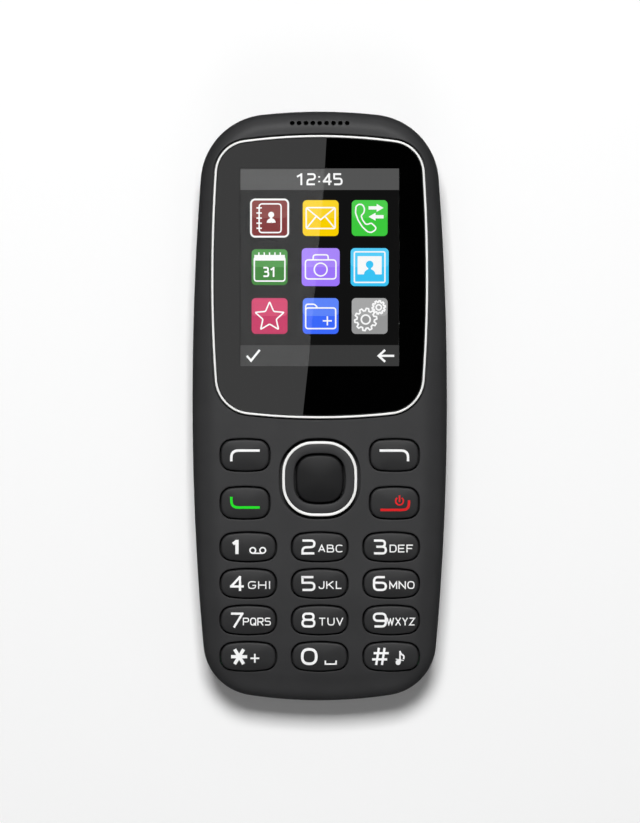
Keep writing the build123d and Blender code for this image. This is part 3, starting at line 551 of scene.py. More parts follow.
# %% [markdown]
# The front moulding is one skin: flat over the keys, falling over the chin, rounded at the rim. A
# skin like this is a height above the plan: the rim is a broad quarter ellipse of the depth inside
# the outline, narrower over the window, and the chin a slope along Y that rolls off at its end.
# Boolean cuts in a thick block would leave long thin faces that shade badly, so the openings are
# left out when the plan is filled with triangles, and a small rounded lip runs round each.

# %% The front as a height above the plan
RIM_WIDTH = 5.0
TOP_RIM_WIDTH = 3.2
TOP_RIM_FROM, TOP_RIM_TO = 30.0, 44.0
RIM_DROP = 2.6
CHIN_LENGTH = 18.6
CHIN_FALL = 0.8
CHIN_START_Y = housing_low[1] + CHIN_LENGTH
CHIN_SOFTNESS = 3.0
CHIN_ROLL_START_Y = housing_low[1] + 10.4
CHIN_ROLL_RADIUS = 90.0


def chin_drop(y):
    """How far the front has fallen along the chin: a straight slope that starts as a parabola."""
    along = CHIN_START_Y - y
    bent = np.clip(along + CHIN_SOFTNESS, 0, None) ** 2 / (4 * CHIN_SOFTNESS)
    return np.where(along < CHIN_SOFTNESS, bent, along) * CHIN_FALL / CHIN_LENGTH


def chin_roll(y):
    """How far the skin below the last keys rolls away besides: a parabola of the distance."""
    return np.clip(CHIN_ROLL_START_Y - y, 0, None) ** 2 / (2 * CHIN_ROLL_RADIUS)


def front_height(points):
    """Height of the front skin over flat points. The rim gets narrower over the window."""
    y = points[..., 1]
    top_share = np.clip((y - TOP_RIM_FROM) / (TOP_RIM_TO - TOP_RIM_FROM), 0, 1)
    width = RIM_WIDTH + (TOP_RIM_WIDTH - RIM_WIDTH) * top_share
    depth = np.clip(depth_inside(BODY, points), 0, None)
    short = 1 - np.clip(depth / width, 0, 1)
    rim = RIM_DROP * (1 - np.sqrt(1 - short**2))
    return FRONT_Z - chin_drop(y) - chin_roll(y) - rim


BODY_COLUMNS = 420
KEY_COLUMNS = 96
NAV_COLUMNS = 128
WINDOW_COLUMNS = 260
HOLE_COLUMNS = 24
LIP = 0.10
LIP_STEPS = 5
LIP_GUARD = 0.22  # a second ring round each opening, so that the lip's shading stays beside it
RIM_ROWS = 20


def lip_part(arcs, columns, depth_to, radius=LIP):
    """The rounded lip of an opening and the wall under it.

    The lip is a quarter circle from the skin, a radius outside the opening, down to the wall. The
    wall ends at depth_to, a height or an array of heights, one for each column.
    """
    turn = np.linspace(0, np.pi / 2, LIP_STEPS)[:, None]
    inset = -radius + radius * np.sin(turn)
    flat = trace(arcs, columns, inset)
    edge = front_height(flat[0])
    heights = edge - radius * (1 - np.cos(turn))
    foot = with_heights(flat[-1:], depth_to)
    return grid_part(np.concatenate([with_heights(flat, heights), foot]))


# %% The earpiece's holes and the display's opening
EAR_COUNT = 9
EAR_PITCH = 1.28
EAR_RADIUS = 0.42
EAR_Y = 52.7
ear_rings = [
    round_ring(EAR_RADIUS, (place - (EAR_COUNT - 1) / 2) * EAR_PITCH, EAR_Y)
    for place in range(EAR_COUNT)
]
EAR_LIP = 0.06
BED_GAP = 0.05
BED_Z = span("window_lens")[0][2] - BED_GAP
CEILING_Z = FRONT_Z - WALL


def ceiling_height(points):
    """Height of the skin's inner side, which follows the chin."""
    return CEILING_Z - chin_drop(points[..., 1])


picture_low, picture_high = span("display_gasket")
GASKET_WIDTH = 1.0
OPENING_CORNER = 0.4
DISPLAY_Y = (picture_low[1] + picture_high[1]) / 2
OPENING = slot_ring(
    picture_high[0] - picture_low[0] - 2 * GASKET_WIDTH,
    picture_high[1] - picture_low[1] - 2 * GASKET_WIDTH,
    OPENING_CORNER,
    0,
    DISPLAY_Y,
)
OPENING_COLUMNS = 64


# %% The top sheet, the lips and the ceiling
CHIN_GRID_X, CHIN_GRID_Y = (-16.0, 16.1), (-50.0, -34.0)
CHIN_GRID_STEP = 1.6


def front_sheets():
    """Outer skin, ceiling, lips and walls between them, all on the same columns of points."""
    rim_turns = np.linspace(0, np.pi / 2, RIM_ROWS)
    rim_depths = RIM_WIDTH * (1 - np.cos(rim_turns))
    rings = [trace(BODY, BODY_COLUMNS, depth) for depth in rim_depths]
    chin_x, chin_y = np.meshgrid(
        np.arange(*CHIN_GRID_X, CHIN_GRID_STEP), np.arange(*CHIN_GRID_Y, CHIN_GRID_STEP)
    )
    loose = np.stack([chin_x.ravel(), chin_y.ravel()], axis=-1)
    keys = list(OPENINGS.values())
    holes = [trace(key, KEY_COLUMNS, -LIP) for key in keys]
    holes += [trace(NAV, NAV_COLUMNS, -LIP), trace(WINDOW, WINDOW_COLUMNS, -TRIM_GROOVE - LIP)]
    holes += [trace(ring, HOLE_COLUMNS, -EAR_LIP) for ring in ear_rings]
    rings += [trace(key, KEY_COLUMNS, -LIP - LIP_GUARD) for key in keys]
    rings += [
        trace(NAV, NAV_COLUMNS, -LIP - LIP_GUARD),
        trace(WINDOW, WINDOW_COLUMNS, -TRIM_GROOVE - LIP - LIP_GUARD),
    ]
    loose = loose[~np.any([inside_loop(loose, hole) for hole in holes], axis=0)]
    flat, faces = pierced_sheet(rings, holes, loose)
    parts = [(with_heights(flat, front_height(flat)), faces)]

    inner = trace(BODY, BODY_COLUMNS, WALL)
    inner_holes = [trace(key, KEY_COLUMNS) for key in keys] + [trace(NAV, NAV_COLUMNS)]
    inner_holes += [trace(ring, HOLE_COLUMNS) for ring in ear_rings]
    inner_holes.append(trace(OPENING, OPENING_COLUMNS))
    loose = loose[~np.any([inside_loop(loose, hole) for hole in inner_holes], axis=0)]
    flat, faces = pierced_sheet([inner], inner_holes, loose)
    parts.append((with_heights(flat, ceiling_height(flat)), faces))

    for key in keys:
        parts.append(lip_part(key, KEY_COLUMNS, ceiling_height(trace(key, KEY_COLUMNS))))
    parts.append(lip_part(NAV, NAV_COLUMNS, ceiling_height(trace(NAV, NAV_COLUMNS))))
    for ring in ear_rings:
        parts.append(lip_part(ring, HOLE_COLUMNS, CEILING_Z, EAR_LIP))
    groove = WINDOW - (0, 0, -TRIM_GROOVE, 0, 0)
    parts.append(lip_part(groove, WINDOW_COLUMNS, BED_Z))
    bed_ring, bed_hole = trace(groove, WINDOW_COLUMNS), trace(OPENING, OPENING_COLUMNS)
    flat, faces = pierced_sheet([bed_ring], [bed_hole])
    parts.append((with_heights(flat, BED_Z), faces))
    wall = np.stack([with_heights(bed_hole, BED_Z), with_heights(bed_hole, CEILING_Z)])
    parts.append(grid_part(wall))
    return parts


# %% [markdown]
# The wall under the rim is a strip wound round the body, so it is worked out flat: one way is the
# column number round the outline, the other is the height. The sockets' holes are drawn on that flat
# strip at their real X and height, the strip is filled with triangles round them, and then it is
# wound up. The inner side of the wall is the same strip on an outline one wall further in, and a
# short tunnel joins the two at each hole.

# %% The wall with its sockets
JACK_X = middle("headphone_socket")[0]
JACK_Z = 6.85
JACK_NOSE = 2.15
JACK_GAP = 0.1
usb_low, usb_high = span("charging_socket")
USB_GAP = 0.2
USB_CORNER = 0.6
MIC_X = middle("microphone")[0]
MIC_Z = (span("microphone")[0][2] + span("microphone")[1][2]) / 2
MIC_RADIUS = 0.5
SOCKET_COLUMNS = 48
WALL_ROWS = 6
TOP_ARC, CHIN_ARC = 2, 7  # the numbers of the two end arcs in the body's outline


def column_of(arc, x, inset):
    """Column number, with its fraction, at which one end arc passes a place in X."""
    shares = BODY[:, 4] * (BODY[:, 2] + CORNER_SHARE)
    starts = np.cumsum(shares) - shares
    centre_x, _, radius, start, turn = BODY[arc]
    lean = np.arcsin((x - centre_x) / (radius - inset))
    angle = np.pi / 2 - lean if arc == TOP_ARC else 3 * np.pi / 2 + lean
    return (starts[arc] + (angle - start) / turn * shares[arc]) / shares.sum() * BODY_COLUMNS


def on_wall(columns, inset):
    """Flat places on the body's outline at column numbers that may lie between two columns."""
    fine = 8
    ring = trace(BODY, BODY_COLUMNS * fine, inset)
    ring = np.concatenate([ring, ring[:1]])
    at = np.arange(len(ring)) / fine
    return np.stack([np.interp(columns, at, ring[:, 0]), np.interp(columns, at, ring[:, 1])], -1)


def wall_part(inset, high, holes):
    """The wall's strip at an inset: from the parting line up to high, pierced by the holes.

    high holds one height for each column, the first repeated at the end. Heights on the flat
    strip are straightened to shares of the column's own height, so that its upper edge is level.
    """
    level = 10.0
    ends = np.arange(BODY_COLUMNS + 1)
    rows = np.linspace(0, level, WALL_ROWS)

    def straight(loop):
        top = np.interp(loop[:, 0], ends, high)
        return np.stack([loop[:, 0], (loop[:, 1] - PARTING_Z) / (top - PARTING_Z) * level], -1)

    low_edge = np.stack([ends, np.zeros(len(ends))], -1)
    high_edge = np.stack([ends, np.full(len(ends), level)], -1)[::-1]
    sides = np.stack([np.full(WALL_ROWS - 2, float(BODY_COLUMNS)), rows[1:-1]], -1)
    ring = np.concatenate([low_edge, sides, high_edge, (sides * (0, 1))[::-1]])
    mesh_x, mesh_y = np.meshgrid(ends[1:-1], rows[1:-1])
    loose = np.stack([mesh_x.ravel(), mesh_y.ravel()], -1).astype(float)
    level_holes = [straight(hole) for hole in holes]
    loose = loose[~np.any([inside_loop(loose, hole) for hole in level_holes], axis=0)]
    flat, faces = pierced_sheet([ring], level_holes, loose)
    top = np.interp(flat[:, 0], ends, high)
    heights = PARTING_Z + flat[:, 1] / level * (top - PARTING_Z)
    return with_heights(on_wall(flat[:, 0], inset), heights), faces


def socket_loops(inset):
    """The holes' loops as column numbers and heights, for the outer or the inner wall."""
    nose = trace(round_ring(JACK_NOSE + JACK_GAP, JACK_X, JACK_Z), SOCKET_COLUMNS)
    usb = slot_ring(
        usb_high[0] - usb_low[0] + 2 * USB_GAP,
        usb_high[2] - usb_low[2] + 2 * USB_GAP,
        USB_CORNER,
        0,
        (usb_high[2] + usb_low[2]) / 2,
    )
    mic = trace(round_ring(MIC_RADIUS, MIC_X, MIC_Z), HOLE_COLUMNS)
    loops = [(TOP_ARC, nose), (CHIN_ARC, trace(usb, SOCKET_COLUMNS)), (CHIN_ARC, mic)]
    return [np.stack([column_of(arc, loop[:, 0], inset), loop[:, 1]], -1) for arc, loop in loops]


def wall_parts():
    """Outer wall, inner wall, the rim between them at the parting line, and the tunnels."""
    outer_top = front_height(trace(BODY, BODY_COLUMNS))
    inner_ring = trace(BODY, BODY_COLUMNS, WALL)
    inner_top = ceiling_height(inner_ring)
    outer_loops, inner_loops = socket_loops(0), socket_loops(WALL)
    parts = [
        wall_part(0, np.append(outer_top, outer_top[0]), outer_loops),
        wall_part(WALL, np.append(inner_top, inner_top[0]), inner_loops),
        grid_part(with_heights(trace(BODY, BODY_COLUMNS, np.array([[0], [WALL]])), PARTING_Z)),
    ]
    for outer, inner in zip(outer_loops, inner_loops):
        ends = [
            with_heights(on_wall(loop[:, 0], inset), loop[:, 1])
            for loop, inset in ((outer, 0), (inner, WALL))
        ]
        parts.append(grid_part(np.stack(ends)))
    return parts


def dress(piece, material, body, slot, *nodes):
    """Gives a piece its material, the body that it rides on, and what it replaces; slot is not used."""
    piece.data.materials.append(material)
    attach(piece, body)
    if nodes:
        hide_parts(*nodes)
    return piece


front_shell = make_piece("front_shell", front_sheets() + wall_parts())
dress(front_shell, HOUSING_ABS, "phone", "dark_plastic", "front_housing")
print("front shell:", len(front_shell.data.polygons), "faces")

# %% [markdown]
# A key is a pillow: a straight wall, a small rounded edge, and a crown that falls away from the
# middle. The outer rows of its grid are parallel outlines, but these would fold up in the tight
# shoulders near the middle, so the crown's rows are the last outline shrunk towards the centre.

# %% Pillows for the keys
EDGE = 0.3
CROWN = 0.12
EDGE_ROWS = 7
CROWN_ROWS = 12


def crown_rise(shrink, crown):
    """Height over the crown's edge: it falls with the square of the distance from the middle."""
    return crown * (1 - shrink**2)


def pillow_part(arcs, columns, gap, foot, top, edge=EDGE, crown=CROWN):
    """Rows from the middle of the foot, up the wall, round the edge and in over the crown."""
    centre = trace(arcs, columns).mean(axis=0)
    turn = np.linspace(0, np.pi / 2, EDGE_ROWS)[:, None]
    edge_flat = trace(arcs, columns, gap + edge * (1 - np.cos(turn)))
    edge_z = top - crown - edge * (1 - np.sin(turn))
    shrink = np.linspace(1, 0, CROWN_ROWS)[1:, None]
    crown_flat = centre + shrink[..., None] * (edge_flat[-1] - centre)
    crown_z = top - crown + crown_rise(shrink, crown)
    foot_flat = trace(arcs, columns, gap)
    rows = [
        with_heights(np.broadcast_to(centre, foot_flat.shape), foot)[None],
        with_heights(foot_flat, foot)[None],
        with_heights(edge_flat, edge_z),
        with_heights(crown_flat, crown_z),
    ]
    return grid_part(np.concatenate(rows))


def pillow_height(arcs, gap, top):
    """A function that gives a key's height over flat points on its crown."""
    loop = trace(arcs, 4 * KEY_COLUMNS, gap + EDGE)
    centre = trace(arcs, 4 * KEY_COLUMNS).mean(axis=0)
    away = loop - centre
    angles = np.arctan2(away[:, 1], away[:, 0])
    order = np.argsort(angles)
    reach = np.hypot(away[:, 0], away[:, 1])[order]

    def height(points):
        offset = points - centre
        angle = np.arctan2(offset[..., 1], offset[..., 0])
        limit = np.interp(angle, angles[order], reach, period=2 * np.pi)
        shrink = np.clip(np.hypot(offset[..., 0], offset[..., 1]) / limit, 0, 1)
        return top - CROWN + crown_rise(shrink, CROWN)

    return height


key_heights = {}
for node, arcs in OPENINGS.items():
    low, high = span(node)
    part = pillow_part(arcs, KEY_COLUMNS, KEY_GAP, low[2], high[2])
    piece = make_piece(node + "_cap", [part])
    dress(piece, KEY_PAINT, node, "key_plastic", node)
    key_heights[node] = pillow_height(arcs, KEY_GAP, high[2])
print(len(key_heights), "keys")

# %% [markdown]
# The navigation ring is a profile carried round its square outline: up the outer wall, over a soft
# edge, across the flat and down into the middle opening, whose outline is another one. So its grid
# has the outer outline's rows first and the inner outline's after, with the same number of columns.
# The white line sits in a step in its edge, and is a profile of its own, crowned by a tenth of a
# millimetre.

# %% Navigation ring, its white line and the middle key
ring_low, ring_high = span("nav_ring")
line_low, line_high = span("nav_trim")
LINE_GAP = NAV_GAP + 0.08
LINE_WIDTH = 0.5
LINE_CROWN = 0.1
LINE_STEP_DEPTH, LINE_STEP_ROOM = 0.05, 0.03
RING_EDGE, RING_INNER_EDGE = 0.12, 0.25


def profile_part(arcs, columns, profile):
    """A closed strip: each (inset, height) of the profile is one row round the outline."""
    profile = np.array(profile, float)
    return grid_part(with_heights(trace(arcs, columns, profile[:, :1]), profile[:, 1:]))


def soft_corner(inset, height, radius, inward=True):
    """Rows of a rounded corner, from the wall at inset up to the level of height."""
    turn = np.linspace(0, np.pi / 2, 5)
    side = 1 if inward else -1
    rows = np.stack(
        [inset + side * radius * (1 - np.cos(turn)), height - radius * (1 - np.sin(turn))], -1
    )
    return rows if inward else rows[::-1]


def nav_ring_part():
    """Rows round the outer outline, then round the middle opening, closed under the plate."""
    step_z = line_low[2] - LINE_STEP_DEPTH
    step_in = LINE_GAP + LINE_WIDTH + LINE_STEP_ROOM
    outer = np.concatenate([
        [(NAV_GAP, ring_low[2]), (NAV_GAP, step_z), (step_in, step_z)],
        soft_corner(step_in, ring_high[2], RING_EDGE),
    ])
    inner = np.concatenate([
        soft_corner(-SELECT_GAP, ring_high[2], RING_INNER_EDGE, False),
        [(-SELECT_GAP, ring_low[2])],
    ])
    rows = [
        with_heights(trace(NAV, NAV_COLUMNS, outer[:, :1]), outer[:, 1:]),
        with_heights(trace(SELECT, NAV_COLUMNS, inner[:, :1]), inner[:, 1:]),
        with_heights(trace(NAV, NAV_COLUMNS, NAV_GAP), ring_low[2])[None],
    ]
    return grid_part(np.concatenate(rows))


nav_cap = make_piece("nav_ring_cap", [nav_ring_part()])
dress(nav_cap, HOUSING_ABS, "nav_ring", "dark_plastic", "nav_ring")
line_crown = np.linspace(0, np.pi, 9)
line_rows = np.stack(
    [
        LINE_GAP + LINE_WIDTH * (1 - np.cos(line_crown)) / 2,
        line_high[2] - LINE_CROWN * (1 - np.sin(line_crown)),
    ],
    axis=-1,
)
line_foot = [(LINE_GAP + LINE_WIDTH, line_low[2])]
line_profile = np.concatenate([line_foot, [(LINE_GAP, line_low[2])], line_rows, line_foot])
nav_line = make_piece("nav_line", [profile_part(NAV, NAV_COLUMNS, line_profile)])
dress(nav_line, WHITE_LINE, "nav_ring", "white_line", "nav_trim")

select_low, select_high = span("select_key")
SELECT_EDGE = 0.4
SELECT_CROWN = 0.22
select_part = pillow_part(
    SELECT, NAV_COLUMNS, 0, select_low[2], select_high[2], SELECT_EDGE, SELECT_CROWN
)
select_cap = make_piece("select_cap", [select_part])
dress(select_cap, SELECT_PAINT, "select_key", "key_plastic", "select_key")

# %% [markdown]
# The window's white frame and its plate are two more profiles. The plate's front edge is cut off at a
# slant, as a milled plate's is, so that it catches a thin line of light. The black border is printed
# on the plate's back and edge, so it is a thin sheet with a rectangular hole where the picture shows
# and a low wall round it. The plate's level front has a ring of edges over that hole, so that its
# faces over the picture can be clear and those over the border black and glossy.

# %% Window frame, plate and print
lens_low, lens_high = span("window_lens")
FRAME_ROUND = 0.15
FRAME_GAP = 0.12
FRAME_INSIDE = FRAME_GAP + TRIM_WIDTH
frame_profile = np.concatenate([
    [(FRAME_INSIDE, trim_low[2]), (FRAME_GAP, trim_low[2])],
    soft_corner(FRAME_GAP, trim_high[2], FRAME_ROUND),
    soft_corner(FRAME_INSIDE, trim_high[2], FRAME_ROUND, False),
    [(FRAME_INSIDE, trim_low[2])],
])
window_frame = make_piece("window_frame", [profile_part(WINDOW, WINDOW_COLUMNS, frame_profile)])
dress(window_frame, WHITE_LINE, "phone", "white_line", "window_trim")

PLATE_GAP = 0.06
PLATE_INSET = FRAME_INSIDE + PLATE_GAP
PLATE_SLANT = 0.12
PRINT_DEPTH = 0.03
PICTURE_WIDTH = 29.6
PICTURE_HEIGHT = 36.8
PRINT_MARGIN = 0.03
SIGHT_SIZE = np.array([PICTURE_WIDTH, PICTURE_HEIGHT]) + 2 * PRINT_MARGIN
SIGHT_CORNER = 0.2
print_hole = trace(slot_ring(*SIGHT_SIZE, SIGHT_CORNER, 0, DISPLAY_Y), OPENING_COLUMNS)


def filled_part(ring, height, holes=()):
    """A level sheet that fills a ring and leaves its holes open."""
    flat, faces = pierced_sheet([ring], list(holes))
    return with_heights(flat, height), faces


def plate_parts():
    """The plate: a level back, a wall, a slanted edge and a level front in two parts."""
    profile = [
        (PLATE_INSET, lens_low[2] + PRINT_DEPTH),
        (PLATE_INSET, lens_high[2] - PLATE_SLANT),
        (PLATE_INSET + PLATE_SLANT, lens_high[2]),
    ]
    back = trace(WINDOW, WINDOW_COLUMNS, PLATE_INSET)
    front = trace(WINDOW, WINDOW_COLUMNS, PLATE_INSET + PLATE_SLANT)
    return [
        profile_part(WINDOW, WINDOW_COLUMNS, profile),
        filled_part(back, lens_low[2] + PRINT_DEPTH),
        filled_part(front, lens_high[2], [print_hole]),
        filled_part(print_hole, lens_high[2]),
    ]


def clear_faces(plate):
    """Which faces are clear: the whole back, and on the front those within the sight hole."""
    centres = np.empty(3 * len(plate.data.polygons))
    plate.data.polygons.foreach_get("center", centres)
    centres = centres.reshape(-1, 3) / MM
    from_middle = np.abs(centres[:, :2] - (0, DISPLAY_Y))
    within = (from_middle < SIGHT_SIZE / 2).all(axis=1)
    at_back = centres[:, 2] < lens_low[2] + 2 * PRINT_DEPTH
    return within | at_back


clear_plate = make_piece("window_plate", plate_parts())
dress(clear_plate, BACKED_ACRYLIC, "phone", "window", "window_lens")
clear_plate.data.materials.append(BONDED_ACRYLIC)
clear = clear_faces(clear_plate)
clear_plate.data.polygons.foreach_set("material_index", clear.astype("i4"))
print("plate:", clear.sum(), "clear faces")

print_ring = trace(WINDOW, WINDOW_COLUMNS, PLATE_INSET)
PRINT_THICKNESS = 0.02
PRINT_AIR = 0.01
EDGE_PRINT = PLATE_INSET - PRINT_AIR
edge_profile = [
    (PLATE_INSET, lens_low[2]),
    (EDGE_PRINT - PRINT_THICKNESS, lens_low[2]),
    (EDGE_PRINT - PRINT_THICKNESS, lens_high[2] - PLATE_SLANT),
    (EDGE_PRINT, lens_high[2] - PLATE_SLANT),
    (EDGE_PRINT, lens_low[2] + PRINT_THICKNESS),
    (PLATE_INSET, lens_low[2] + PRINT_THICKNESS),
]
print_levels = (lens_low[2], lens_low[2] + PRINT_THICKNESS)
border_parts = [filled_part(print_ring, z, [print_hole]) for z in print_levels]
border_parts.append(grid_part(np.stack([with_heights(print_hole, z) for z in print_levels])))
border_parts.append(profile_part(WINDOW, WINDOW_COLUMNS, edge_profile))
black_border = make_piece("black_border", border_parts)
dress(black_border, BLACK_PRINT, "phone", "window")

# %% [markdown]
# The keys' signs are strokes of one width with rounded bends, as in a wide square lettering. A font
# could write the digits, but its outlines would have to be cut up to follow the crowned keys. Here
# each sign is a few short paths in a unit box. A path's bends are rounded, points are put in along
# its straights, and a ribbon is laid along it whose height is read from the key's own crown.

# %% Paths and ribbons
BEND_STEPS = 7
INNER_RUN_SHARE, END_RUN_SHARE = 0.5, 0.9
RIBBON_STEP = 0.3
LEAST_BEND_SHARE = 0.45  # at a sharp bend a ribbon's corner grows to at most 1 / 0.45 of its width
TINY = 1e-9


def rounded(points, radius, closed=False):
    """Replaces each bend of a path by a curve between two points a radius before and after it.

    The curve is a quadratic one with the bend as its middle control point. It takes at most half
    of a run between two bends, and at most nine tenths of a run that ends an open path.
    """
    points = np.array(points, float)
    before, after = np.roll(points, 1, axis=0), np.roll(points, -1, axis=0)
    here = points
    if not closed:
        before, here, after = before[1:-1], points[1:-1], after[1:-1]
    if len(here) == 0:
        return points
    share = np.linspace(0, 1, BEND_STEPS)[:, None]
    back, ahead = before - here, after - here
    back_length = np.linalg.norm(back, axis=1, keepdims=True)
    ahead_length = np.linalg.norm(ahead, axis=1, keepdims=True)
    back_share, ahead_share = np.full((2, len(here), 1), INNER_RUN_SHARE)
    if not closed:
        back_share[0] = ahead_share[-1] = END_RUN_SHARE
    start = here + back / back_length * np.minimum(radius, back_length * back_share)
    end = here + ahead / ahead_length * np.minimum(radius, ahead_length * ahead_share)
    start, middle_point, end = (value[:, None] for value in (start, here, end))
    bends = (1 - share) ** 2 * start + 2 * share * (1 - share) * middle_point + share**2 * end
    bends = bends.reshape(-1, 2)
    return bends if closed else np.concatenate([points[:1], bends, points[-1:]])


def spaced(path, step):
    """Adds points along a path so that none are further apart than a step."""
    length = np.concatenate([[0], np.cumsum(np.linalg.norm(np.diff(path, axis=0), axis=1))])
    kept = np.concatenate([[True], np.diff(length) > 1e-6])
    path, length = path[kept], length[kept]
    extra = np.arange(step, length[-1], step)
    at = np.unique(np.round(np.concatenate([length, extra]), 6))
    at = at[np.concatenate([[True], np.diff(at) > step / 50])]
    return np.stack([np.interp(at, length, path[:, 0]), np.interp(at, length, path[:, 1])], -1)


def ribbon_part(path, width, height, rise, closed=False, sink=0.05):
    """A ribbon along a path: four rows, low and high at the left, high and low at the right.

    A point's sideways direction is the mean of its two edges' normals, made longer at a bend so
    that the ribbon keeps its width.
    """
    if closed:
        path = spaced(np.concatenate([path, path[:1]]), RIBBON_STEP)[:-1]
        edges = np.roll(path, -1, axis=0) - path
        edges_before = np.roll(edges, 1, axis=0)
    else:
        path = spaced(path, RIBBON_STEP)
        edges = np.diff(path, axis=0)
        edges_before = np.concatenate([edges[:1], edges])
        edges = np.concatenate([edges, edges[-1:]])
    normals = [
        np.stack([-edge[:, 1], edge[:, 0]], -1) / np.linalg.norm(edge, axis=1, keepdims=True)
        for edge in (edges_before, edges)
    ]
    sideways = normals[0] + normals[1]
    sideways /= np.maximum(np.linalg.norm(sideways, axis=1, keepdims=True), TINY)
    sideways /= np.clip((sideways * normals[1]).sum(axis=1, keepdims=True), LEAST_BEND_SHARE, 1)
    left, right = path + sideways * width / 2, path - sideways * width / 2
    low_left, high_left = height(left) - sink, height(left) + rise
    low_right, high_right = height(right) - sink, height(right) + rise
    rows = [(right, low_right), (right, high_right), (left, high_left), (left, low_left)]
    return grid_part(np.stack([with_heights(flat, z) for flat, z in rows]), closed)


def line(*points):
    """A path with sharp bends."""
    return points, 0.0, False


def bend(radius, *points):
    """A path with rounded bends."""
    return points, radius, False


def loop(radius, *points):
    """A closed path with rounded bends."""
    return points, radius, True


UNIT_BOX = ((0, 0), (1, 0), (1, 1), (0, 1))
SIGNS = {
    "0": [loop(0.48, *UNIT_BOX)],
    "1": [line((0.05, 0.74), (0.6, 0.97)), line((0.62, 1.08), (0.62, -0.08))],
    "2": [bend(0.3, (0, 1), (1, 1), (1, 0.5), (0, 0.46), (0, 0)), line((-0.09, 0), (1, 0))],
    "3": [
        bend(0.3, (0, 1), (0.92, 1), (0.92, 0.52), (0.2, 0.52)),
        bend(0.3, (0.6, 0.52), (1, 0.52), (1, 0), (0, 0)),
    ],
    "4": [
        line((0.76, -0.08), (0.76, 1.08)),
        line((0.8, 1.06), (-0.02, 0.24)),
        line((-0.08, 0.27), (1.08, 0.27)),
    ],
    "5": [line((0.92, 1), (0, 1), (0, 0.56)), bend(0.32, (-0.08, 0.56), (1, 0.56), (1, 0), (0, 0))],
    "6": [bend(0.36, (0.92, 1), (0, 1), (0, 0), (1, 0), (1, 0.56), (0.06, 0.56))],
    "7": [line((0, 1), (1.04, 1)), line((1, 1.06), (0.24, -0.08))],
    "8": [
        loop(0.3, (0.07, 0.52), (0.93, 0.52), (0.93, 1), (0.07, 1)),
        loop(0.32, (0, 0), (1, 0), (1, 0.52), (0, 0.52)),
    ],
    "9": [bend(0.36, (0.04, 0), (1, 0), (1, 1), (0, 1), (0, 0.44), (0.94, 0.44))],
    "A": [line((0, 0), (0.5, 1), (1, 0)), line((0.2, 0.32), (0.8, 0.32))],
    "B": [
        line((0, -0.07), (0, 1.07)),
        bend(0.22, (0, 1), (0.88, 1), (0.88, 0.53), (0, 0.53)),
        bend(0.24, (0.6, 0.53), (1, 0.53), (1, 0), (0, 0)),
    ],
    "C": [bend(0.46, (1, 0.88), (0.9, 1), (0, 1), (0, 0), (0.9, 0), (1, 0.12))],
    "D": [line((0, -0.07), (0, 1.07)), bend(0.44, (0, 1), (1, 1), (1, 0), (0, 0))],
    "E": [line((1, 1), (0, 1), (0, 0), (1, 0)), line((0, 0.5), (0.9, 0.5))],
    "F": [line((1, 1), (0, 1), (0, -0.07)), line((0, 0.5), (0.86, 0.5))],
    "G": [
        bend(0.44, (1, 0.9), (0.9, 1), (0, 1), (0, 0), (1, 0), (1, 0.46)),
        line((1.06, 0.46), (0.55, 0.46)),
    ],
    "H": [line((0, -0.07), (0, 1.07)), line((1, -0.07), (1, 1.07)), line((0, 0.5), (1, 0.5))],
    "I": [line((0.5, -0.07), (0.5, 1.07))],
    "J": [bend(0.4, (1, 1.07), (1, 0), (0, 0), (0, 0.3))],
    "K": [
        line((0, -0.07), (0, 1.07)),
        line((0.96, 1.07), (0.04, 0.42)),
        line((0.34, 0.6), (1, -0.07)),
    ],
    "L": [line((0, 1.07), (0, 0), (1, 0))],
    "M": [line((0, -0.07), (0, 1), (0.5, 0.2), (1, 1), (1, -0.07))],
    "N": [line((0, -0.07), (0, 1), (1, 0), (1, 1.07))],
    "O": [loop(0.46, *UNIT_BOX)],
    "P": [line((0, -0.07), (0, 1.07)), bend(0.25, (0, 1), (1, 1), (1, 0.46), (0, 0.46))],
    "Q": [loop(0.42, *UNIT_BOX), line((0.6, 0.28), (1.06, -0.08))],
    "R": [
        line((0, -0.07), (0, 1.07)),
        bend(0.25, (0, 1), (1, 1), (1, 0.46), (0, 0.46)),
        line((0.52, 0.46), (1.02, -0.07)),
    ],
    "S": [bend(0.26, (1, 0.96), (0.9, 1), (0, 1), (0, 0.53), (1, 0.53), (1, 0), (0, 0))],
    "T": [line((0, 1), (1, 1)), line((0.5, 1), (0.5, -0.07))],
    "U": [bend(0.42, (0, 1.07), (0, 0), (1, 0), (1, 1.07))],
    "V": [line((0, 1.07), (0.5, 0), (1, 1.07))],
    "W": [line((0, 1.07), (0.25, 0), (0.5, 0.9), (0.75, 0), (1, 1.07))],
    "X": [line((0, -0.07), (1, 1.07)), line((0, 1.07), (1, -0.07))],
    "Y": [line((0, 1.07), (0.5, 0.46), (1, 1.07)), line((0.5, 0.5), (0.5, -0.07))],
    "Z": [line((0, 1), (1, 1), (0, 0), (1, 0))],
    "+": [line((0, 0.5), (1, 0.5)), line((0.5, 0), (0.5, 1))],
    "*": [
        line((0, 0.5), (1, 0.5)),
        line((0.22, 0.02), (0.78, 0.98)),
        line((0.22, 0.98), (0.78, 0.02)),
    ],
    "#": [
        line((0.22, -0.08), (0.4, 1.08)),
        line((0.6, -0.08), (0.78, 1.08)),
        line((0.05, 0.72), (1.05, 0.72)),
        line((-0.05, 0.3), (0.95, 0.3)),
    ],
    "space": [line((0, 1), (0, 0), (1, 0), (1, 1))],
    ":": [line((0.5, 0.2), (0.5, 0.34)), line((0.5, 0.66), (0.5, 0.8))],
}
CROSSING_STEP = 0.002
WIDTH_SHARES = {"I": 0.2, "J": 0.7, "L": 0.75, "W": 1.3, "M": 1.1, ":": 0.3}
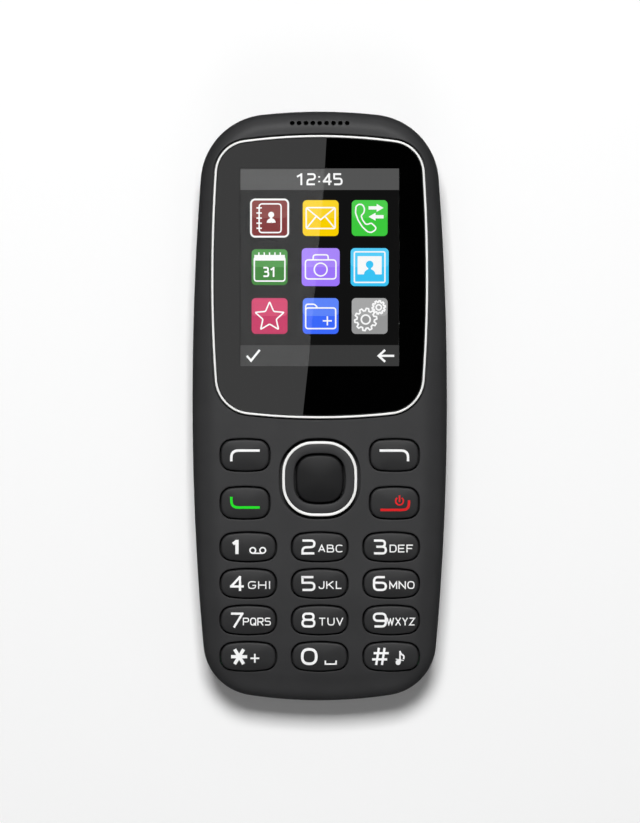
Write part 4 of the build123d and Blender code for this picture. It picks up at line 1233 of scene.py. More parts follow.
WORD_SPACING = 0.42


def sign_parts(sign, box, width, height, rise):
    """One sign's ribbons, its unit box stretched over box, which is left, low, right, high.

    Each ribbon stands a hair over the last, so that two that cross don't share a surface.
    """
    left, low, right, high = box
    scale, shift = np.array([right - left, high - low]), np.array([left, low])
    parts = []
    for layer, (points, radius, closed) in enumerate(SIGNS[sign]):
        path = rounded(points, radius, closed) if radius else np.array(points)
        top = rise + layer * CROSSING_STEP
        parts.append(ribbon_part(path * scale + shift, width, height, top, closed))
    return parts


def word_parts(word, box, width, height, rise):
    """A row of signs that fills a box, each as wide as its share."""
    left, low, right, high = box
    shares = np.array([WIDTH_SHARES.get(sign, 1.0) for sign in word])
    unit = (right - left) / (shares.sum() + WORD_SPACING * (len(word) - 1))
    starts = left + unit * (np.cumsum(shares) - shares + WORD_SPACING * np.arange(len(word)))
    parts = []
    for sign, start, share in zip(word, starts, shares):
        parts += sign_parts(sign, (start, low, start + unit * share, high), width, height, rise)
    return parts


# %% [markdown]
# The signs themselves are ink: a matt white, a green for the call key and a red for the end key. The
# places are distances from each key's middle in millimetres. The number keys carry the usual letters
# after their digit. Some strokes end in a small overshoot, because a ribbon's end is cut square.

# %% Signs on the keys
def printed_ink(name, hex_low, hex_high):
    """Pad-printed ink, matt and slightly uneven."""
    return grained(name, hex_low, hex_high, 0.2, 0.002, 0.55, values=SATIN)


WHITE_INK = printed_ink("white_pad_print", "#f0f0f0", "#fafafa")
GREEN_INK = printed_ink("green_pad_print", "#06d80e", "#0ce416")
RED_INK = printed_ink("red_pad_print", "#d00408", "#dc0a10")
INK_RISE = 0.012
DIGIT_STROKE = 0.42
LETTER_STROKE = 0.21
DIGIT_BOX = (-3.2, -1.18, -1.0, 1.2)
LETTER_LOW, LETTER_HIGH = -0.9, 0.35
LETTERS = {
    "2": ("ABC", -0.2, 4.2),
    "3": ("DEF", -0.2, 4.05),
    "4": ("GHI", 0.05, 4.1),
    "5": ("JKL", -0.1, 4.05),
    "6": ("MNO", -0.25, 4.25),
    "7": ("PQRS", -0.9, 4.1),
    "8": ("TUV", -0.1, 4.3),
    "9": ("WXYZ", -0.75, 4.35),
}


ROUND = (0, 342)  # a closed circle of 20 points ends one point before its start
FINE_ROUND = (0, 345)  # and so does one of 24 points or a few more


def arc_path(centre, radius, start, end, steps=20):
    """Points of a circle's arc between two angles in degrees."""
    angle = np.radians(np.linspace(start, end, steps))
    return np.array(centre) + radius * np.stack([np.cos(angle), np.sin(angle)], -1)


def shifted(box, x, y):
    """A box moved by a key's place."""
    left, low, right, high = box
    return left + x, low + y, right + x, high + y


def digit_parts(name, x, y, height):
    """Ribbons of a number key's digit or sign and of what stands after it."""
    def small(path, width=LETTER_STROKE, closed=False):
        return ribbon_part(path + (x, y), width, height, INK_RISE, closed)

    def signs(sign, box, width):
        return sign_parts(sign, shifted(box, x, y), width, height, INK_RISE)

    if name == "1":
        parts = signs("1", (-2.9, -1.12, -1.6, 1.15), 0.6)
        parts += [small(arc_path((centre, -0.62), 0.52, *ROUND), 0.26, True) for centre in (0.85, 2.7)]
        return parts + [small(np.array([(0.85, -1.16), (2.7, -1.16)]), 0.26)]
    if name == "star":
        return signs("*", (-3.2, -1.45, -0.2, 1.4), 0.62) + signs("+", (0.4, -1.15, 2.05, 0.5), 0.3)
    if name == "0":
        parts = signs("0", (-3.25, -1.35, -0.65, 1.35), 0.5)
        return parts + signs("space", (1.05, -1.4, 3.05, -0.75), 0.28)
    if name == "hash":
        parts = signs("#", (-3.4, -1.35, -0.6, 1.4), 0.42)
        flag = rounded([(1.65, 0.9), (1.9, 0.4), (2.4, 0.15), (2.3, -0.5)], 0.3)
        parts.append(small(np.array([(1.65, -1.1), (1.65, 1.05)]), 0.3))
        parts.append(small(flag, 0.3))
        parts.append(small(np.array([(0.85, -0.45), (2.35, -0.75)]), 0.16))
        return parts + [small(arc_path((1.3, -1.1), 0.24, *ROUND), 0.48, True)]
    word, left, right = LETTERS[name]
    box = shifted((left, LETTER_LOW, right, LETTER_HIGH), x, y)
    parts = signs(name, DIGIT_BOX, DIGIT_STROKE)
    return parts + word_parts(word, box, LETTER_STROKE, height, INK_RISE)


SIDE_STROKE = 0.46
SOFT_PATH = [(-2.54, -1.15), (-2.54, 0.85), (2.75, 0.85)]
END_PATH = [(-2.6, -1.3), (2.7, -1.3), (2.7, 0.5)]


def side_parts(node, x, y, height):
    """Ribbons of the two soft keys, the call key and the end key."""
    def stroke(path, width=SIDE_STROKE):
        return ribbon_part(np.array(path) + (x, y), width, height, INK_RISE)

    if node == "end_key":
        centre = (0.95, 0.35)
        power = arc_path(centre, 0.72, 125, 415)
        bar = [(centre[0], 0.15), (centre[0], 1.4)]
        return [stroke(rounded(END_PATH, 1.2)), stroke(power, 0.28), stroke(bar, 0.3)]
    flip = {"soft_key_left": (1, 1), "soft_key_right": (-1, 1), "call_key": (1, -1)}[node]
    return [stroke(rounded(SOFT_PATH, 1.3) * flip)]


INKS = {"call_key": GREEN_INK, "end_key": RED_INK}
for node in NUMBER_KEYS + SIDE_KEYS:
    x, y = middle(node)
    if node in NUMBER_KEYS:
        parts = digit_parts(node.removeprefix("key_"), x, y, key_heights[node])
    else:
        parts = side_parts(node, x, y, key_heights[node])
    piece = make_piece(node + "_sign", parts, closed=False)
    dress(piece, INKS.get(node, WHITE_INK), node, "white_line")
print("signs on", len(key_heights), "keys")

# %% [markdown]
# The display shows a menu: a title bar, nine coloured tiles with white pictures, and a lower bar. On
# a real display this is light from behind, so it is drawn as thin shapes that glow with their own
# colour, which is stored on the mesh. The title bar shows the time, and the lower bar a tick and an
# arrow. A faint grid at the real pixel spacing crosses it all, and the same surface carries the gloss
# of the plate over it.

# %% The lit picture's material
PIXELS_ACROSS = 128
PIXEL = PICTURE_WIDTH / PIXELS_ACROSS


def lit_pixels():
    """Emission of the mesh's own colour, dimmed a little along the lines between pixels, under
    the polish of the acrylic over it."""
    material, tree = new_material("backlit_liquid_crystal")
    ink = add_node(tree, "Attribute", attribute_name="ink").outputs["Color"]
    place = add_node(tree, "TexCoord").outputs["Object"]
    grid = add_node(
        tree,
        "TexBrick",
        {
            "Scale": per_metre(PIXEL),
            "Color1": linear("#ffffff"),
            "Color2": linear("#ffffff"),
            "Mortar": linear("#e8e8e8"),
            "Mortar Size": 0.06,
            "Brick Width": 1.0,
            "Row Height": 1.0,
        },
        {"Vector": place},
        offset=0.0,
    )
    colour = add_node(
        tree,
        "Mix",
        {FACTOR: 1.0},
        {COLOUR_A: ink, COLOUR_B: grid.outputs["Color"]},
        data_type="RGBA",
        blend_type="MULTIPLY",
    )
    surface = add_node(
        tree,
        "BsdfPrincipled",
        {
            "Base Color": linear("#000000"),
            "Roughness": 0.0,
            "IOR": ACRYLIC_IOR,
            "Emission Strength": 1.0,
        },
        {"Emission Color": colour.outputs[MIXED_COLOUR]},
    )
    add_node(tree, "OutputMaterial", links={"Surface": surface.outputs["BSDF"]})
    return material


LIT = lit_pixels()
PANEL_TOP = span("display_panel")[1][2]
LAYER = 0.02
GROUND, BARS, TILES, LIGHTS, STROKES, OVER_STROKES = range(1, 7)  # layers from the glass up


def level(layer):
    """A height function: so many layers over the display's glass."""
    def height(points):
        return np.full(points.shape[:-1], PANEL_TOP + layer * LAYER)

    return height


drawing = []


def draw(parts, hex_colour):
    """Adds shapes of one colour to the picture."""
    drawing.extend((part, linear(hex_colour)) for part in parts)


def patch(width, height, corner, x, y, layer):
    """A flat rectangle with round corners: its outline shrunk to a point in one step."""
    ring = trace(slot_ring(width, height, corner, x, y), 32)
    points = np.stack([ring, np.broadcast_to((x, y), ring.shape)])
    return [grid_part(with_heights(points, level(layer)(points)))]


# %% The menu's bars and tiles
BAR_HEIGHT = 4.0
TITLE_Y = 42.35
FOOT_Y = 9.4
BAR_CORNER, GROUND_CORNER = 0.05, 0.1
draw(patch(PICTURE_WIDTH, PICTURE_HEIGHT, GROUND_CORNER, 0, DISPLAY_Y, GROUND), "#131313")
draw(patch(PICTURE_WIDTH, BAR_HEIGHT, BAR_CORNER, 0, TITLE_Y, BARS), "#565656")
draw(patch(PICTURE_WIDTH, BAR_HEIGHT, BAR_CORNER, 0, FOOT_Y, BARS), "#3c3c3c")
TILE = 6.7
TILE_CORNER = 0.8
CHOSEN_FRAME = 6.95
LARGE_TILE = 7.1
TILE_COLUMNS = (-9.35, 0.18, 9.32)
TILE_ROWS = (35.1, 25.95, 16.83)
TILE_COLOURS = (
    ("#7c1c1e", "#ffd400", "#3fcc40"),
    ("#35842e", "#a078ff", "#3cc8fa"),
    ("#c8295f", "#3d6bff", "#9a9a9a"),
)
TILE_LIGHTS = (
    ("#8a3f3c", "#ffd92a", "#4fd24e"),
    ("#4f9a4a", "#ac8aff", "#58d2ff"),
    ("#d6446f", "#6088ff", "#aaaaaa"),
)
LARGE_COLOURS = TILE_COLOURS[1][1:]


STROKE_SINK = 0.01


def lit_stroke(path, width, closed=False, layer=STROKES):
    """A stroke of a picture on a tile."""
    return [ribbon_part(np.array(path, float), width, level(layer), 0, closed, STROKE_SINK)]


def lit_fill(points):
    """A filled shape of a picture on a tile: its corners joined to its middle."""
    ring = np.array(points, float)
    rows = np.stack([ring, np.broadcast_to(ring.mean(axis=0), ring.shape)])
    return [grid_part(with_heights(rows, level(STROKES)(rows)))]


for tile_y, colours, lights in zip(TILE_ROWS, TILE_COLOURS, TILE_LIGHTS):
    for tile_x, colour, light in zip(TILE_COLUMNS, colours, lights):
        side = LARGE_TILE if colour in LARGE_COLOURS else TILE
        draw(patch(side, side, TILE_CORNER, tile_x, tile_y, TILES), colour)
        draw(patch(side, side / 2, TILE_CORNER, tile_x, tile_y + side / 4, LIGHTS), light)

# %% [markdown]
# Each picture is a few strokes round its tile's middle: a book with a person, an envelope, a handset
# with arrows, a calendar leaf, a camera, a picture of a person, a star, a folder and two gear wheels.
# They are the plain signs that any such menu has.

# %% The menu's pictures
THIN = 0.26


def box_path(left, low, right, high):
    """Corners of a rectangle."""
    return [(left, low), (right, low), (right, high), (left, high)]


def person(x, y, size, layer=STROKES):
    """A head and shoulders."""
    circle = arc_path((x, y + 0.42 * size), 0.13 * size, *ROUND)
    head = lit_stroke(circle, 0.26 * size, True, layer)
    neck = lit_stroke([(x, y + 0.4 * size), (x, y - 0.1 * size)], 0.2 * size, False, layer)
    shoulders = arc_path((x, y - 0.3 * size), 0.22 * size, 0, 180)
    return head + neck + lit_stroke(shoulders, 0.36 * size, False, layer)


def book(x, y):
    """A notebook with five rings at its left and a person on its cover."""
    cover = rounded(box_path(x - 1.95, y - 2.7, x + 2.15, y + 2.65), 0.6, True)
    parts = lit_stroke(cover, THIN, True) + person(x + 0.3, y - 0.25, 2.1)
    for step in range(5):
        rung = y - 1.9 + 0.95 * step
        parts += lit_stroke([(x - 2.45, rung), (x - 1.45, rung)], THIN)
    return parts


def envelope(x, y):
    """A closed letter seen from its flap's side."""
    frame_path = rounded(box_path(x - 2.7, y - 1.95, x + 2.7, y + 1.95), 0.3, True)
    parts = lit_stroke(frame_path, THIN, True)
    parts += lit_stroke([(x - 2.6, y + 1.85), (x, y - 0.3), (x + 2.6, y + 1.85)], THIN)
    for side in (-1, 1):
        parts += lit_stroke([(x + side * 2.6, y - 1.85), (x + side * 0.85, y + 0.3)], THIN)
    return parts


HANDSET = (
    (-2.55, 2.2), (-2.0, 2.6), (-1.3, 2.5), (-0.95, 1.8), (-1.05, 1.0), (-1.6, 0.45), (-1.35, -0.3),
    (-0.75, -1.15), (-0.25, -1.15), (0.3, -0.9), (1.2, -1.75), (1.05, -2.25), (0.3, -2.7),
    (-0.4, -2.55), (-1.4, -1.6), (-2.15, -0.4), (-2.65, 1.0),
)
ARROW_SPAN = (-0.2, 2.6)


def handset(x, y):
    """A telephone's receiver with an arrow out and an arrow in."""
    parts = lit_stroke(rounded(np.array(HANDSET) + (x, y), 0.3, True), THIN, True)
    for height, (tail, tip) in ((1.9, ARROW_SPAN), (0.25, ARROW_SPAN[::-1])):
        neck = tip + 1.3 * np.sign(tail - tip)
        parts += lit_stroke([(x + tail, y + height), (x + neck, y + height)], 0.62)
        head = [(neck, height + 0.74), (tip, height), (neck, height - 0.74)]
        parts += lit_fill(np.array(head) + (x, y))
    return parts


def calendar(x, y):
    """A calendar's leaf under a white top with five teeth."""
    leaf = rounded(box_path(x - 2.85, y - 2.6, x + 2.85, y + 1.9), 0.5, True)
    parts = lit_stroke(leaf, THIN, True)
    parts += lit_stroke([(x - 2.85, y + 1.75), (x + 2.85, y + 1.75)], 1.05)
    for place in range(5):
        tooth = x - 2.0 + place
        parts += lit_stroke([(tooth, y + 2.2), (tooth, y + 2.75)], 0.24)
    date_box = (x - 1.15, y - 1.7, x + 1.1, y - 0.1)
    return parts + word_parts("31", date_box, 0.32, level(STROKES), 0)


def camera(x, y):
    """A camera with its round lens and a grip on top."""
    body = rounded(box_path(x - 2.85, y - 2.2, x + 2.85, y + 1.35), 0.6, True)
    grip_path = [(x - 1.4, y + 1.4), (x - 1.4, y + 2.3), (x + 1.4, y + 2.3), (x + 1.4, y + 1.4)]
    grip = rounded(grip_path, 0.5)
    lens = arc_path((x, y - 0.45), 1.2, *FINE_ROUND, 28)
    return lit_stroke(body, THIN, True) + lit_stroke(grip, THIN) + lit_stroke(lens, THIN, True)


def portrait(x, y):
    """A framed picture: the person on it is drawn afterwards, in the tile's colour."""
    sides = rounded(box_path(x - 2.85, y - 2.85, x + 2.85, y + 2.85), 0.3, True)
    return lit_stroke(sides, THIN, True) + patch(4.5, 3.4, 0.1, x, y + 0.35, STROKES)


def star(x, y):
    """A five-pointed star: ten corners at two distances in turn."""
    turn = np.radians(90 + 36 * np.arange(10))
    reach = np.where(np.arange(10) % 2 == 0, 2.85, 1.3)
    points = np.stack([x + reach * np.cos(turn), y - 0.2 + reach * np.sin(turn)], -1)
    return lit_stroke(rounded(points, 0.25, True), THIN, True)


def folder(x, y):
    """A folder with its tab and a plus sign."""
    sides = rounded(box_path(x - 2.8, y - 2.35, x + 2.8, y + 1.5), 0.5, True)
    tab = rounded([(x - 2.8, y + 1.1), (x - 2.8, y + 2.2), (x - 1.0, y + 2.2), (x - 0.6, y + 1.5)], 0.5)
    parts = lit_stroke(sides, THIN, True) + lit_stroke(tab, THIN)
    parts += lit_stroke([(x + 0.4, y - 0.9), (x + 2.1, y - 0.9)], THIN)
    return parts + lit_stroke([(x + 1.25, y - 1.75), (x + 1.25, y - 0.05)], THIN)


def gear(x, y, size):
    """A wheel whose rim steps in and out ten times: its radius follows a squared-off sine."""
    turn = np.linspace(0, 2 * np.pi, 120, endpoint=False)
    reach = size * (1 + 0.12 * np.tanh(5 * np.sin(10 * turn)))
    rim = np.stack([x + reach * np.cos(turn), y + reach * np.sin(turn)], -1)
    hub = arc_path((x, y), 0.45 * size, *FINE_ROUND, 24)
    return lit_stroke(rim, 0.3, True) + lit_stroke(hub, 0.3, True)


def gears(x, y):
    """A large and a small gear wheel."""
    return gear(x - 0.73, y - 0.65, 1.85) + gear(x + 1.7, y + 1.62, 1.1)


PICTURES = ((book, envelope, handset), (calendar, camera, portrait), (star, folder, gears))
for tile_y, makers in zip(TILE_ROWS, PICTURES):
    for tile_x, maker in zip(TILE_COLUMNS, makers):
        draw(maker(tile_x, tile_y), "#ffffff")

picture_colour = TILE_COLOURS[1][2]
draw(person(TILE_COLUMNS[2], TILE_ROWS[1] - 0.65, 2.7, OVER_STROKES), picture_colour)
chosen = slot_ring(CHOSEN_FRAME, CHOSEN_FRAME, TILE_CORNER, TILE_COLUMNS[0], TILE_ROWS[0])
draw(lit_stroke(trace(chosen, 48), 0.34, True), "#ffffff")
time_box = (-4.3, TITLE_Y - 0.95, 4.1, TITLE_Y + 0.95)
draw(word_parts("12:45", time_box, 0.34, level(STROKES), 0), "#ffffff")
tick = [(-13.6, FOOT_Y), (-12.8, FOOT_Y - 0.9), (-11.2, FOOT_Y + 1.1)]
draw(lit_stroke(tick, 0.4), "#ffffff")
back_arrow = [(12.2, FOOT_Y + 1.1), (11.0, FOOT_Y), (12.2, FOOT_Y - 1.1)]
draw(lit_stroke(back_arrow, 0.4) + lit_stroke([(11.1, FOOT_Y), (13.9, FOOT_Y)], 0.4), "#ffffff")


# %% One mesh for the whole picture
def make_picture():
    """Joins the shapes and stores each point's colour on the mesh as the attribute ink."""
    parts = [part for part, _ in drawing]
    colours = np.concatenate([np.tile(colour, (len(part[0]), 1)) for part, colour in drawing])
    piece = make_piece("display_picture", parts, closed=False)
    ink = piece.data.color_attributes.new("ink", "FLOAT_COLOR", "POINT")
    ink.data.foreach_set("color", colours.ravel())
    return piece


dress(make_picture(), LIT, "phone", "display")
print(len(drawing), "shapes in the picture")

# %% [markdown]
# The rear cover is a shallow tray. Its outside is a profile that runs from the flat back round a
# broad corner and up the wall, and its inside is the same one wall further in. The flat back is
# filled round the camera's hole and the loudspeaker's slots, and tunnels join the two sides.

# %% The rear cover
cover_low, cover_high = span("rear_cover")
COVER_WALL = 1.1
COVER_ROUND = 2.9
COVER_FLATTENING = 0.85
COVER_HOLE_COLUMNS = 64
RIM_EASE = 0.12
NOTCH_FOOT = 0.02
SLOT_COUNT = 5
SLOT_PITCH = 1.9
SLOT_SIZE = (10.0, 0.9)
SLOT_CORNER = 0.44  # a hair under half its height, so that no two of its arcs share a centre
SPEAKER_Y = middle("speaker")[1]
CAMERA_Y = middle("camera_window")[1]
CAMERA_HOLE = 4.8
NOTCH_RADIUS = 6.0
NOTCH_DEPTH = 0.8
NOTCH_HEIGHT = 0.9


def cover_profile(inset, low_z):
    """Rows from the flat back to the upper edge: a quarter ellipse, then the wall."""
    turn = np.linspace(0, np.pi / 2, 10)
    drop = COVER_ROUND - inset
    return np.stack(
        [
            inset + drop * (1 - np.sin(turn)),
            low_z + COVER_FLATTENING * drop * (1 - np.cos(turn)),
        ],
        axis=-1,
    )


def cover_parts():
    """Outer tray, inner tray, the two pierced floors, the tunnels, and the rim with its notch."""
    holes = [round_ring(CAMERA_HOLE, 0, CAMERA_Y)]
    for place in range(SLOT_COUNT):
        y = SPEAKER_Y + (place - (SLOT_COUNT - 1) / 2) * SLOT_PITCH
        holes.append(slot_ring(*SLOT_SIZE, SLOT_CORNER, 0, y))
    loops = [trace(hole, COVER_HOLE_COLUMNS) for hole in holes]
    top = cover_high[2]
    parts = []
    floor_ring = trace(BODY, BODY_COLUMNS, COVER_ROUND)
    floors = ((0, cover_low[2]), (COVER_WALL, cover_low[2] + COVER_WALL))
    for inset, low_z in floors:
        parts.append(profile_part(BODY, BODY_COLUMNS, cover_profile(inset, low_z)))
        parts.append(filled_part(floor_ring, low_z, loops))
    for hole in loops:
        parts.append(grid_part(np.stack([with_heights(hole, low_z) for _, low_z in floors])))

    outer = trace(BODY, BODY_COLUMNS)
    outside = NOTCH_RADIUS - np.sqrt(np.clip(NOTCH_RADIUS**2 - outer[:, 0] ** 2, 0, None))
    scoop = np.where(outer[:, 1] > 0, np.clip(NOTCH_DEPTH - outside, 0, None), 0)
    rim_z = top - np.where(scoop > 0, NOTCH_HEIGHT, 0)
    wall_top = cover_profile(0, cover_low[2])[-1, 1]
    inner_top = cover_profile(COVER_WALL, cover_low[2] + COVER_WALL)[-1, 1]
    inward = np.maximum(scoop, RIM_EASE)
    rows = [
        with_heights(outer, wall_top),
        with_heights(outer, rim_z - RIM_EASE),
        with_heights(trace(BODY, BODY_COLUMNS, RIM_EASE), rim_z),
        with_heights(trace(BODY, BODY_COLUMNS, inward), rim_z),
        with_heights(trace(BODY, BODY_COLUMNS, inward + NOTCH_FOOT), top),
        with_heights(trace(BODY, BODY_COLUMNS, COVER_WALL), top),
        with_heights(trace(BODY, BODY_COLUMNS, COVER_WALL), inner_top),
    ]
    parts.append(grid_part(np.stack(rows)))
    return parts


cover_shell = make_piece("cover_shell", cover_parts())
dress(cover_shell, COVER_ABS, "rear_cover", "cover_plastic", "rear_cover")
print("cover:", len(cover_shell.data.polygons), "faces")

# %% [markdown]
# The other solids keep their own shape, because they are small or lie inside, and take the finish of
# what they really are. A solid's own mesh isn't touched: only its material is set.

# %% Finishes of the remaining solids
FINISHES = {
    "rear_housing": HOUSING_ABS,
    "main_board": SOLDER_MASK,
    "display_panel": PANEL_GLASS,
    "display_frame": WHITE_TRAY,
    "display_gasket": FOAM,
    "display_flex": FLEX_FILM,
    "earpiece": BLACK_NYLON,
    "earpiece_mesh": DUST_MESH,
    "nav_rocker": SILICONE,
    "dome_sheet": DOME_FILM,
    "key_mat": SILICONE,
    "key_lamps": LAMP_RESIN,
    "screws": STEEL,
    "battery": BATTERY_WRAP,
    "battery_cap": BLACK_NYLON,
    "battery_contacts": GOLD,
    "battery_connector": BLACK_NYLON,
    "sim_sockets": DRAWN_STEEL,
    "memory_socket": DRAWN_STEEL,
    "headphone_socket": BLACK_NYLON,
    "charging_socket": DRAWN_STEEL,
    "microphone": GOLD,
    "speaker": BLACK_NYLON,
    "speaker_mesh": DUST_MESH,
    "camera_module": BLACK_NYLON,
    "camera_window": ACRYLIC,
    "vibration_motor": STEEL,
    "vibration_weight": TUNGSTEN,
    "shield_can": DRAWN_STEEL,
    "aerial": GOLD,
}
for node, finish in FINISHES.items():
    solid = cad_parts[node]
    solid.data.materials.clear()
    solid.data.materials.append(finish)
left_over = set(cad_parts) - set(FINISHES)
print(len(FINISHES), "solids keep their shape,", len(left_over), "are replaced")

# %% [markdown]
# The stage is a pale floor under soft lamps, with the camera straight above through a long lens, as
# in a catalogue picture. The floor is nearly white to the camera and keeps the phone's shadow. From
# below it is see-through, and a lamp under it shines through, so that the back can be looked at. A
# card high above the left of the window shows only where it is mirrored: its slanted edge is the
# slanted sheen on the window.

# %% Floor
PAPER = "#fafafa"
PAPER_IN_GLOSS = "#4a4a4a"
FLOOR_GLOW = 0.03
GLOW_NEAR, GLOW_FAR = 110.0, 320.0  # past the phone's surroundings the floor fades into white
FLOOR_HALF = 900.0
FLOOR_Z = -0.02


def floor_material():
    """White paper that glows to the camera, a little near the phone and fully far away. The phone's
    shine meets a darker one, as if black cards lay round it, or a pale line would run along its dark
    rim."""
    material, tree = new_material("white_paper_sweep")
    path = add_node(tree, "LightPath")
    back = add_node(tree, "NewGeometry").outputs["Backfacing"]
    place = add_node(tree, "TexCoord").outputs["Object"]
    fibre = add_node(tree, "TexNoise", {"Scale": per_metre(0.5)}, {"Vector": place})
    bump = add_node(
        tree, "Bump", {"Distance": 0.01 * MM, "Strength": 0.2}, {"Height": fibre.outputs["Fac"]}
    )
    shade = add_node(
        tree,
        "Mix",
        {COLOUR_A: linear(PAPER), COLOUR_B: linear(PAPER_IN_GLOSS)},
        {FACTOR: path.outputs["Is Glossy Ray"]},
        data_type="RGBA",
    )
    paper = add_node(
        tree,
        "BsdfDiffuse",
        links={"Color": shade.outputs[MIXED_COLOUR], "Normal": bump.outputs["Normal"]},
    )
    away = add_node(tree, "VectorMath", links={0: place}, operation="LENGTH")
    near, far = GLOW_NEAR * MM, GLOW_FAR * MM
    reach = add_node(
        tree,
        "MapRange",
        {"From Min": near, "From Max": far, "To Min": FLOOR_GLOW, "To Max": 1.0},
        {"Value": away.outputs["Value"]},
    )
    glow = add_node(
        tree,
        "Math",
        links={0: path.outputs["Is Camera Ray"], 1: reach.outputs["Result"]},
        operation="MULTIPLY",
    )
    light = add_node(tree, "Emission", links={"Strength": glow.outputs["Value"]})
    both = add_node(tree, "AddShader", links={0: paper.outputs[0], 1: light.outputs[0]})
    clear = add_node(tree, "BsdfTransparent")
    open_to = add_node(
        tree, "Math", links={0: back, 1: path.outputs["Is Shadow Ray"]}, operation="MAXIMUM"
    )
    mixed = add_node(
        tree,
        "MixShader",
        links={0: open_to.outputs["Value"], 1: both.outputs[0], 2: clear.outputs[0]},
    )
    add_node(tree, "OutputMaterial", links={"Surface": mixed.outputs[0]})
    return material


floor_line = np.linspace(-FLOOR_HALF, FLOOR_HALF, 3)
floor_x, floor_y = np.meshgrid(floor_line, floor_line)
floor_points = np.stack([floor_x, floor_y, np.full(floor_x.shape, FLOOR_Z)], -1)
floor = make_piece("floor", [grid_part(floor_points, closed=False)], closed=False)
floor.data.materials.append(floor_material())

# %% Sheen card
CARD_Z = 500.0
CAMERA_Z = 860.0
# Where the sheen's slanted edge crosses the window, from its top to its foot
SHEEN_EDGE = ((1.6, 56.0), (1.25, 50.1), (0.65, 40.2), (-0.87, 22.5), (-2.2, 7.6), (-3.2, -1.7))
CARD_LEFT = -30.0
SHEEN_GREY = "#3c3c3c"
ACRYLIC_MIRROR = ((ACRYLIC_IOR - 1) / (ACRYLIC_IOR + 1)) ** 2  # the share of light it throws back


def sheen_card():
    """A strip whose right edge, seen mirrored in the window, is the sheen's slanted edge.

    A mirror image of a place at height h stands at (1 + h / camera height) times its X and Y.
    """
    spread = 1 + CARD_Z / CAMERA_Z
    edge = np.array(SHEEN_EDGE) * spread
    far = np.stack([np.full(len(edge), CARD_LEFT * spread), edge[:, 1]], -1)
    rows = with_heights(np.stack([edge, far]), CARD_Z)
    return make_piece("sheen_card", [grid_part(rows, closed=False)], closed=False)


card = sheen_card()
card_material, card_tree = new_material("lit_card")
card_strength = linear(SHEEN_GREY)[0] / ACRYLIC_MIRROR
glow_node = add_node(card_tree, "Emission", {"Strength": card_strength})
add_node(card_tree, "OutputMaterial", links={"Surface": glow_node.outputs[0]})
card.data.materials.append(card_material)
card.visible_camera = False
card.visible_diffuse = False
card.visible_shadow = False

# %% [markdown]
# Dark plastic shows what it mirrors more than what lights it. So the world gives two skies: a dim even
# one that only lights, and one for mirror images and for what is seen through clear pieces. That one
# is nearly black but for a white band part of the way up and a patch towards the phone's top end. The
# camera sees neither, but plain white.

# %% Lamps and world
def soft_lamp(name, place, size, power):
    """A square area lamp, its place and size in metres, turned to face the phone."""
    lamp = bpy.data.lights.new(name, "AREA")
    lamp.size, lamp.energy = size, power
    holder = bpy.data.objects.new(name, lamp)
    holder.location = place
    from_lamp = -np.array(place)
    holder.rotation_euler = (
        np.arctan2(np.hypot(from_lamp[0], from_lamp[1]), -from_lamp[2]),
        0,
        np.arctan2(from_lamp[1], from_lamp[0]) - np.pi / 2,
    )
    bpy.context.scene.collection.objects.link(holder)
    return holder


soft_lamp("upper_softbox", (-0.02, 0.34, 0.80), 0.26, 6.9)
soft_lamp("lower_softbox", (0.0, -0.75, 0.45), 0.6, 1.0)
soft_lamp("back_softbox", (0.08, -0.18, -0.70), 0.4, 2.4)

DIFFUSE_SKY = 0.096
# How far up a direction points, from 0 to 1, each with the sky's strength there
BAND = ((0.0, 0.0), (0.43, 0.08), (0.52, 1.12), (0.62, 1.12), (0.82, 0.0), (1.0, 0.0))
PATCH_LIGHT = 3.2
PATCH_SIDE = (0.6, 1.0)
PATCH_HEIGHT = (0.1, 0.3)
world = bpy.data.worlds.new("studio")
bpy.context.scene.world = world
world.use_nodes = True
world_tree = world.node_tree
world_tree.nodes.clear()
path = add_node(world_tree, "LightPath")
direction = add_node(world_tree, "TexCoord").outputs["Generated"]
towards = add_node(world_tree, "SeparateXYZ", links={0: direction}).outputs
band = add_node(world_tree, "ValToRGB", links={"Fac": towards["Z"]})
while len(band.color_ramp.elements) < len(BAND):
    band.color_ramp.elements.new(1.0)
for stop, (height, strength) in zip(band.color_ramp.elements, BAND):
    stop.position, stop.color = height, (strength, strength, strength, 1.0)
patch_shares = [
    add_node(
        world_tree,
        "MapRange",
        {"From Min": least, "From Max": most, "To Max": strength},
        {"Value": towards[axis]},
    ).outputs["Result"]
    for axis, (least, most), strength in (("Y", PATCH_SIDE, PATCH_LIGHT), ("Z", PATCH_HEIGHT, 1))
]
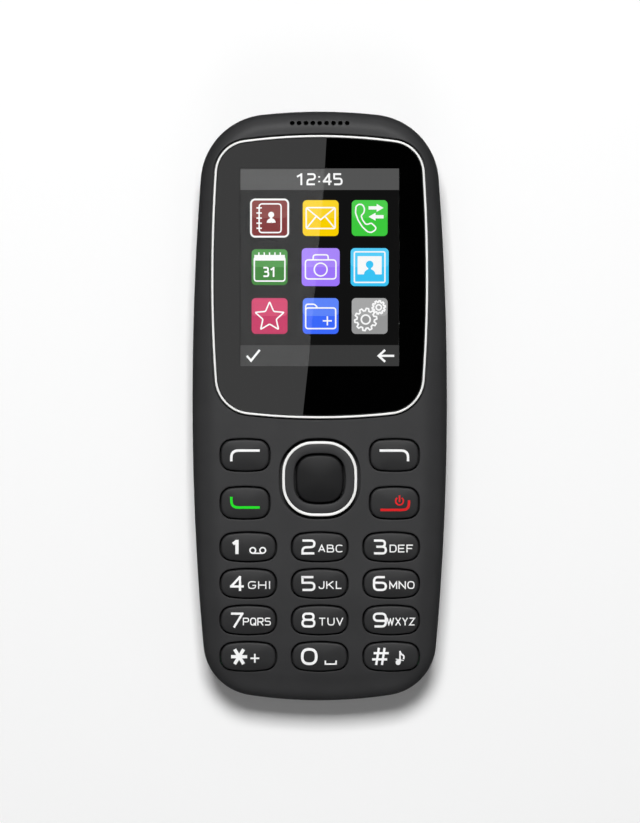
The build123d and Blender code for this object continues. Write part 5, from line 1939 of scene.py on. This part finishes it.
patch_light = add_node(
    world_tree, "Math", links={0: patch_shares[0], 1: patch_shares[1]}, operation="MULTIPLY"
)
gloss_sky = add_node(
    world_tree,
    "Math",
    links={0: band.outputs["Color"], 1: patch_light.outputs["Value"]},
    operation="MAXIMUM",
)
mirrored = add_node(
    world_tree,
    "Math",
    links={0: path.outputs["Is Glossy Ray"], 1: path.outputs["Is Transmission Ray"]},
    operation="MAXIMUM",
)
sky = add_node(
    world_tree,
    "Mix",
    {NUMBER_A: DIFFUSE_SKY},
    {FACTOR: mirrored.outputs["Value"], NUMBER_B: gloss_sky.outputs["Value"]},
    data_type="FLOAT",
)
seen_sky = add_node(
    world_tree,
    "Mix",
    {NUMBER_B: 1.0},
    {FACTOR: path.outputs["Is Camera Ray"], NUMBER_A: sky.outputs[MIXED_NUMBER]},
    data_type="FLOAT",
)
backdrop = add_node(
    world_tree,
    "Background",
    {"Color": linear("#ffffff")},
    {"Strength": seen_sky.outputs[MIXED_NUMBER]},
)
add_node(world_tree, "OutputWorld", links={"Surface": backdrop.outputs[0]})

# %% [markdown]
# The camera hangs over the phone's middle. A long lens keeps the sides upright, and its length is
# worked out from how many millimetres one pixel covers at the level of the phone's face.

# %% Camera
IMAGE = (640, 823)
MIDDLE_PIXEL = (319.7, 406.2)  # where the phone's middle lies in the photograph
MM_PER_PIXEL = 0.1863
FACE_LEVEL = 12.5
SENSOR = 36.0
covered = IMAGE[1] * MM_PER_PIXEL
lens_length = SENSOR * (CAMERA_Z - FACE_LEVEL) / covered
camera = bpy.data.cameras.new("camera")
camera.sensor_width, camera.lens = SENSOR, lens_length
camera_object = bpy.data.objects.new("camera", camera)
camera_object.location = (
    (IMAGE[0] / 2 - MIDDLE_PIXEL[0]) * MM_PER_PIXEL * MM,
    (MIDDLE_PIXEL[1] - IMAGE[1] / 2) * MM_PER_PIXEL * MM,
    CAMERA_Z * MM,
)
bpy.context.scene.collection.objects.link(camera_object)
bpy.context.scene.camera = camera_object
bpy.context.scene.view_settings.view_transform = "Standard"
print("lens", round(lens_length, 1), "mm")
